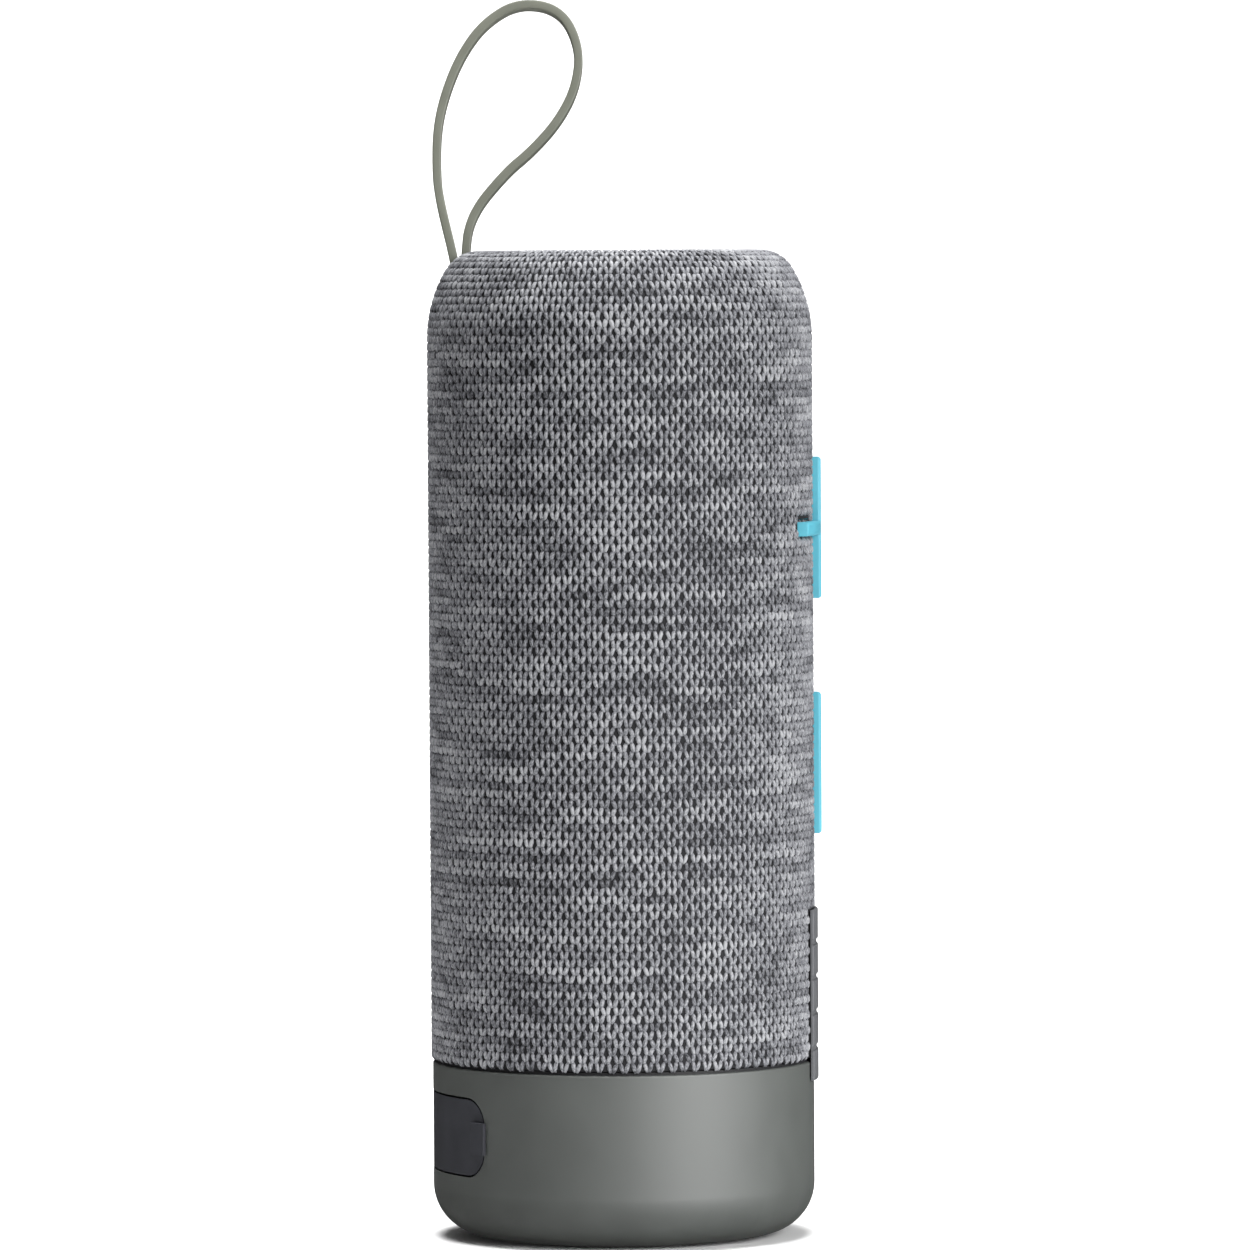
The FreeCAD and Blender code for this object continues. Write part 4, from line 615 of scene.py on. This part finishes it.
def stitch_tree():
    """Lays the stitch on staggered rows of a profile that is turned round the Z axis."""
    tree = bpy.data.node_groups.new("knitted_rows", "GeometryNodeTree")
    tree.is_modifier = True
    for name, kind in (("Stitch", "Geometry"), ("Profile", "Object"), ("Keep clear of", "Object"),
                       ("Clearance", "Float"), ("Columns", "Int"), ("Rows", "Int"),
                       ("First row", "Int"), ("Row height", "Float"), ("Start", "Float"),
                       ("Full radius", "Float"), ("Seed", "Int"), ("Yarn", "Material")):
        tree.interface.new_socket(name=name, in_out="INPUT", socket_type=f"NodeSocket{kind}")
    tree.interface.new_socket(name="Knit", in_out="OUTPUT", socket_type="NodeSocketGeometry")
    given = add_node(tree, "NodeGroupInput").outputs
    # How much the stitches differ: along the row, up the row, in size and in lean.
    sideways, upwards, smallest, size_range, lean_range = 0.008, 0.25 * MM, 0.89, 0.22, 0.3
    rounding = 0.01  # keeps a whole number from falling just under itself in the division

    def calc(operation, *values):
        inputs = {f"i{number}": value for number, value in enumerate(values)}
        return add_node(tree, "ShaderNodeMath", {"operation": operation}, **inputs).outputs[0]

    def vector(x=0.0, y=0.0, z=0.0):
        return add_node(tree, "ShaderNodeCombineXYZ", X=x, Y=y, Z=z).outputs[0]

    def dice(offset):
        return add_node(tree, "FunctionNodeRandomValue", {"data_type": "FLOAT"},
                        Seed=calc("ADD", given["Seed"], float(offset))).outputs["Value"]

    index = add_node(tree, "GeometryNodeInputIndex").outputs[0]
    column = calc("FLOOR", calc("DIVIDE", calc("ADD", index, rounding), given["Rows"]))
    row = calc("ADD", calc("FLOORED_MODULO", index, given["Rows"]), given["First row"])
    stagger = calc("MULTIPLY", calc("FLOORED_MODULO", row, 2.0), 0.5)
    turn = calc("DIVIDE", calc("ADD", column, stagger), given["Columns"])
    angle = calc("MULTIPLY_ADD", dice(5), sideways, calc("MULTIPLY", turn, 2 * math.pi))
    level = calc("MULTIPLY_ADD", row, given["Row height"], given["Start"])
    reach = calc("MULTIPLY_ADD", dice(6), upwards, level)

    profile = add_node(tree, "GeometryNodeObjectInfo", Object=given["Profile"])
    sample = add_node(tree, "GeometryNodeSampleCurve", {"mode": "LENGTH"},
                      Curves=profile.outputs["Geometry"], Length=reach)
    heading = add_node(tree, "ShaderNodeSeparateXYZ", Vector=sample.outputs["Tangent"])
    outward = vector(heading.outputs["Z"], 0.0, calc("MULTIPLY", heading.outputs["X"], -1.0))

    def spun(direction):
        return add_node(tree, "ShaderNodeVectorRotate", {"rotation_type": "Z_AXIS"},
                        Vector=direction, Angle=angle).outputs[0]

    spot = add_node(tree, "ShaderNodeSeparateXYZ", Vector=sample.outputs["Position"])
    count = calc("MULTIPLY", given["Columns"], given["Rows"])
    points = add_node(tree, "GeometryNodePoints", Count=count,
                      Position=spun(sample.outputs["Position"]))
    guard = add_node(tree, "GeometryNodeObjectInfo", Object=given["Keep clear of"])
    near = add_node(tree, "GeometryNodeProximity", {"target_element": "FACES"},
                    i0=guard.outputs["Geometry"]).outputs["Distance"]
    blocked = add_node(tree, "FunctionNodeCompare",
                       {"data_type": "FLOAT", "operation": "LESS_THAN"},
                       A=near, B=given["Clearance"]).outputs[0]
    noted = add_node(tree, "GeometryNodeCaptureAttribute", Geometry=points.outputs[0])
    for kind, name in (("VECTOR", "Normal"), ("VECTOR", "Up"), ("FLOAT", "Radius"),
                       ("VECTOR", "Tone")):
        noted.capture_items.new(kind, name)
    # The yarn changes colour in streaks along a row, and in clouds over several rows.
    streak_place = vector(calc("MULTIPLY", turn, 20.0), calc("MULTIPLY", row, 5.3), given["Seed"])
    streak = add_node(tree, "ShaderNodeTexNoise", Vector=streak_place, Scale=1.0, Detail=2.0,
                      Roughness=0.6).outputs[0]
    wide_place = vector(calc("MULTIPLY", turn, 13.0), calc("MULTIPLY", row, 0.55), given["Seed"])
    cloud = add_node(tree, "ShaderNodeTexNoise", Vector=wide_place, Scale=1.0,
                     Detail=3.0).outputs[0]
    mixed = calc("ADD", streak, calc("MULTIPLY_ADD", cloud, 1.5, -0.72))
    for name, source in (("Normal", spun(outward)), ("Up", spun(sample.outputs["Tangent"])),
                         ("Radius", spot.outputs["X"]), ("Tone", vector(mixed, dice(1), dice(2)))):
        tree.links.new(source, noted.inputs[name])
    kept = add_node(tree, "GeometryNodeDeleteGeometry", {"domain": "POINT"},
                    Geometry=noted.outputs["Geometry"], Selection=blocked)
    stance = add_node(tree, "FunctionNodeAxesToRotation",
                      {"primary_axis": "Z", "secondary_axis": "Y"},
                      i0=noted.outputs["Normal"], i1=noted.outputs["Up"]).outputs[0]
    squeeze = calc("DIVIDE", noted.outputs["Radius"], given["Full radius"])
    swell = calc("MULTIPLY_ADD", dice(3), size_range, smallest)
    size = vector(calc("MULTIPLY", squeeze, swell), 1.0, swell)
    placed = add_node(tree, "GeometryNodeInstanceOnPoints", Points=kept.outputs[0],
                      Instance=given["Stitch"], Rotation=stance, Scale=size)
    lean = calc("MULTIPLY_ADD", dice(4), lean_range, -lean_range / 2)
    tipped = add_node(tree, "FunctionNodeAxisAngleToRotation", Axis=(0.0, 0.0, 1.0), Angle=lean)
    leaning = add_node(tree, "GeometryNodeRotateInstances", Instances=placed.outputs[0],
                       Rotation=tipped.outputs[0])
    toned = add_node(tree, "GeometryNodeStoreNamedAttribute",
                     {"data_type": "FLOAT_VECTOR", "domain": "INSTANCE"},
                     Geometry=leaning.outputs[0], Name="tone", Value=noted.outputs["Tone"])
    real = add_node(tree, "GeometryNodeRealizeInstances", Geometry=toned.outputs[0])
    dressed = add_node(tree, "GeometryNodeSetMaterial", Geometry=real.outputs[0],
                       Material=given["Yarn"])
    add_node(tree, "NodeGroupOutput", Knit=dressed.outputs[0])
    return tree


def profile_curve(points):
    curve = bpy.data.curves.new("sleeve_profile", "CURVE")
    curve.dimensions = "3D"
    spline = curve.splines.new("POLY")
    spline.points.add(len(points) - 1)
    for point, (radius, height) in zip(spline.points, points):
        point.co = (radius, 0.0, height, 1.0)
    return link_object("sleeve_profile", curve)


def joined_guard(names):
    """One throwaway mesh of the pieces that stitches keep clear of."""
    work = bmesh.new()
    for name in names:
        work.from_mesh(NODES[name].data)
    mesh = bpy.data.meshes.new("guard")
    work.to_mesh(mesh)
    work.free()
    return link_object("guard", mesh)


class SPEAKER_OT_sleeve(bpy.types.Operator):
    """Knitted sleeve: dark backing and the stitches that cover it"""
    bl_idname = "speaker.sleeve"
    bl_label = "Knitted sleeve"

    def execute(self, context):
        settings = context.scene.speaker_sleeve
        backing = merged_copy("fabric_sleeve", "sleeve_backing", knit_backing())
        shrink = backing.modifiers.new("under_the_knit", "DISPLACE")
        shrink.strength = -settings.relief
        shrink.mid_level = 0.0
        bake_shape(backing)

        points = shoulder_profile()
        profile = profile_curve(points)
        guard = joined_guard(["plus_button", "minus_button", "badge", "strap"])
        yarn = melange_yarn(context.scene.speaker_colours.yarn_tint)
        tree = stitch_tree()
        sockets = {item.name: item.identifier for item in tree.interface.items_tree
                   if item.item_type == "SOCKET" and item.in_out == "INPUT"}
        length = sum((b - a).length for a, b in zip(points, points[1:]))
        rows = int((length - settings.hem) / settings.row_height)
        bands = 6  # one object for each, so that none has too many triangles
        each = math.ceil(rows / bands)
        template = stitch_mesh()
        template.transform(Matrix.Translation((0.0, 0.0, -settings.bed)))
        for band in range(bands):
            first = band * each
            knit = link_object(f"sleeve_knit_{band + 1}", template.copy())
            modifier = knit.modifiers.new("rows", "NODES")
            modifier.node_group = tree
            for name, given in (("Profile", profile), ("Keep clear of", guard),
                                ("Clearance", settings.clearance), ("Columns", settings.columns),
                                ("Rows", min(each, rows - first)), ("First row", first),
                                ("Row height", settings.row_height), ("Start", settings.hem),
                                ("Full radius", BODY_RADIUS), ("Seed", settings.seed),
                                ("Yarn", yarn)):
                modifier[sockets[name]] = given
            bake_shape(knit)
            knit.data.materials.clear()
            knit.data.materials.append(yarn)
            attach(knit, "housing")
        for helper in (profile, guard):
            bpy.data.objects.remove(helper)
        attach(backing, "housing")
        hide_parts("fabric_sleeve")
        return {"FINISHED"}


# ---------------------------------------------------------------- hard pieces

class SPEAKER_OT_base(bpy.types.Operator):
    """Base cap and foot pad"""
    bl_idname = "speaker.base"
    bl_label = "Base and foot"

    def execute(self, context):
        colours = context.scene.speaker_colours
        paint = soft_touch_paint(colours.base)
        finished_copy("base_cap", "base_shell", paint, "housing", 0.35)
        rubber = moulded_silicone("foot_rubber", colours.foot, lighter(colours.foot, 1.45), 0.62)
        finished_copy("foot_pad", "foot_disc", rubber, "housing")
        return {"FINISHED"}


class SPEAKER_OT_ports(bpy.types.Operator):
    """Port cover, bezel, hinge pin and the two sockets behind the cover"""
    bl_idname = "speaker.ports"
    bl_label = "Ports and cover"

    def execute(self, context):
        colour = context.scene.speaker_colours.cover
        cover = moulded_silicone("port_cover_rubber", colour, lighter(colour, 1.19), 0.5)
        finished_copy("port_cover", "port_flap", cover, "port_cover", 0.3, 3)
        dark = moulded_plastic("bezel_abs", "#17171a", "#1c1c1f", 0.5)
        finished_copy("port_bezel", "socket_bezel", dark, "housing", 0.1)
        steel = plated_steel("nickel_plated_steel", "#c2c1bd")
        finished_copy("usb_socket", "usb_shell", steel, "housing")
        finished_copy("flap_pin", "hinge_pin", steel, "housing")
        jack = moulded_plastic("jack_nylon", "#101012", "#151517", 0.45)
        finished_copy("aux_jack", "audio_jack", jack, "housing")
        return {"FINISHED"}


class SPEAKER_OT_keys(bpy.types.Operator):
    """Volume keys and badge on the front"""
    bl_idname = "speaker.keys"
    bl_label = "Volume keys and badge"

    def execute(self, context):
        colours = context.scene.speaker_colours
        cyan = moulded_silicone("key_silicone", colours.keys, lighter(colours.keys, 1.085), 0.45)
        for node in ("plus_button", "minus_button"):
            finished_copy(node, node.replace("button", "key"), cyan, node)
        plate = moulded_plastic("badge_satin_abs", colours.badge, lighter(colours.badge, 1.143),
                                0.45, 0.2)
        finished_copy("badge", "badge_strip", plate, "housing")
        return {"FINISHED"}


class SPEAKER_OT_top(bpy.types.Operator):
    """Trim disc, power and pairing keys and light guide on top"""
    bl_idname = "speaker.top"
    bl_label = "Top"

    def execute(self, context):
        paint = bpy.data.materials["soft_touch_painted_abs"]
        finished_copy("top_trim", "trim_disc", paint, "housing", 0.15)
        colour = context.scene.speaker_colours.top_keys
        rubber = moulded_silicone("top_key_rubber", colour, lighter(colour, 1.2), 0.45)
        finished_copy("power_button", "power_key", rubber, "power_button")
        finished_copy("pair_button", "pair_key", rubber, "pair_button")
        clear = moulded_plastic("frosted_polycarbonate", "#d8dadc", "#e6e8ea", 0.35)
        finished_copy("light_guide", "light_window", clear, "housing")
        return {"FINISHED"}


def inner_finishes():
    """The finish of each material slot that the pieces inside have in the record."""
    black = moulded_plastic("inner_abs", "#1d1d1f", "#232326", 0.6)
    steel = plated_steel("zinc_plated_steel", "#bdbcb8")
    board = printed_board()
    resin = moulded_plastic("moulded_epoxy", "#131314", "#1a1a1c", 0.5, 0.15)
    rubber = moulded_silicone("moulded_rubber", "#121213", "#171718", 0.5)
    return {
        "screw_steel": steel, "socket_steel": steel, "yoke_steel": steel, "circuit_board": board,
        "chip_resin": resin, "switch_plastic": resin, "capacitor_can": steel,
        "chassis_plastic": black, "grille_plastic": black, "frame_plastic": black,
        "plate_plastic": black, "anchor_plastic": black, "bezel_plastic": black,
        "jack_plastic": black, "gasket_foam": rubber, "surround_rubber": rubber,
        "battery_can": moulded_plastic("pvc_shrink_sleeve", "#1d4f86", "#22588f", 0.3, 1.0),
        "magnet_ferrite": moulded_plastic("ground_ferrite", "#2a2a2c", "#333335", 0.6, 0.1),
        "cone_paper": moulded_plastic("pressed_paper", "#1a1a1b", "#242425", 0.85, 0.5),
        "spider_cloth": moulded_plastic("resin_dipped_cloth", "#9c7d45", "#ab8a50", 0.8, 0.4),
        "light_plastic": moulded_plastic("diffused_led", "#e0e2e4", "#eceef0", 0.3)}


class SPEAKER_OT_inside(bpy.types.Operator):
    """Finishes for the pieces that the sleeve and the base hide"""
    bl_idname = "speaker.inside"
    bl_label = "Inner pieces"

    def execute(self, context):
        finishes = inner_finishes()
        slots = {row["node"]: row["material_slot"] for row in frame["record"]["subparts"]}
        for name, thing in NODES.items():
            if slots[name] in finishes and not thing.hide_render:
                thing.data.materials.clear()
                thing.data.materials.append(finishes[slots[name]])
        return {"FINISHED"}


class SPEAKER_PT_panel(bpy.types.Panel):
    """Lists the speaker's pieces and settings"""
    bl_idname = "SPEAKER_PT_panel"
    bl_label = "Bluetooth speaker"
    bl_space_type = "VIEW_3D"
    bl_region_type = "UI"
    bl_category = "Speaker"

    def draw(self, context):
        for operator in OPERATORS:
            self.layout.operator(operator.bl_idname)
        for name in SETTINGS:
            group = getattr(context.scene, name)
            for prop in group.bl_rna.properties:
                if prop.identifier not in {"rna_type", "name"}:
                    self.layout.prop(group, prop.identifier)


OPERATORS = (SPEAKER_OT_stage, SPEAKER_OT_strap, SPEAKER_OT_sleeve, SPEAKER_OT_base,
             SPEAKER_OT_ports, SPEAKER_OT_keys, SPEAKER_OT_top, SPEAKER_OT_inside)
SETTINGS = {"speaker_colours": ColourSettings, "speaker_sleeve": SleeveSettings,
            "speaker_strap": StrapSettings, "speaker_stage": StageSettings}


def register():
    for cls in (*SETTINGS.values(), *OPERATORS, SPEAKER_PT_panel):
        bpy.utils.register_class(cls)
    for name, cls in SETTINGS.items():
        setattr(bpy.types.Scene, name, PointerProperty(type=cls))


def unregister():
    for name in SETTINGS:
        delattr(bpy.types.Scene, name)
    for cls in reversed((*SETTINGS.values(), *OPERATORS, SPEAKER_PT_panel)):
        bpy.utils.unregister_class(cls)


def main():
    register()
    bpy.ops.speaker.stage()
    bpy.ops.speaker.strap()
    bpy.ops.speaker.sleeve()
    bpy.ops.speaker.base()
    bpy.ops.speaker.ports()
    bpy.ops.speaker.keys()
    bpy.ops.speaker.top()
    bpy.ops.speaker.inside()


if __name__ == "__main__":
    main()
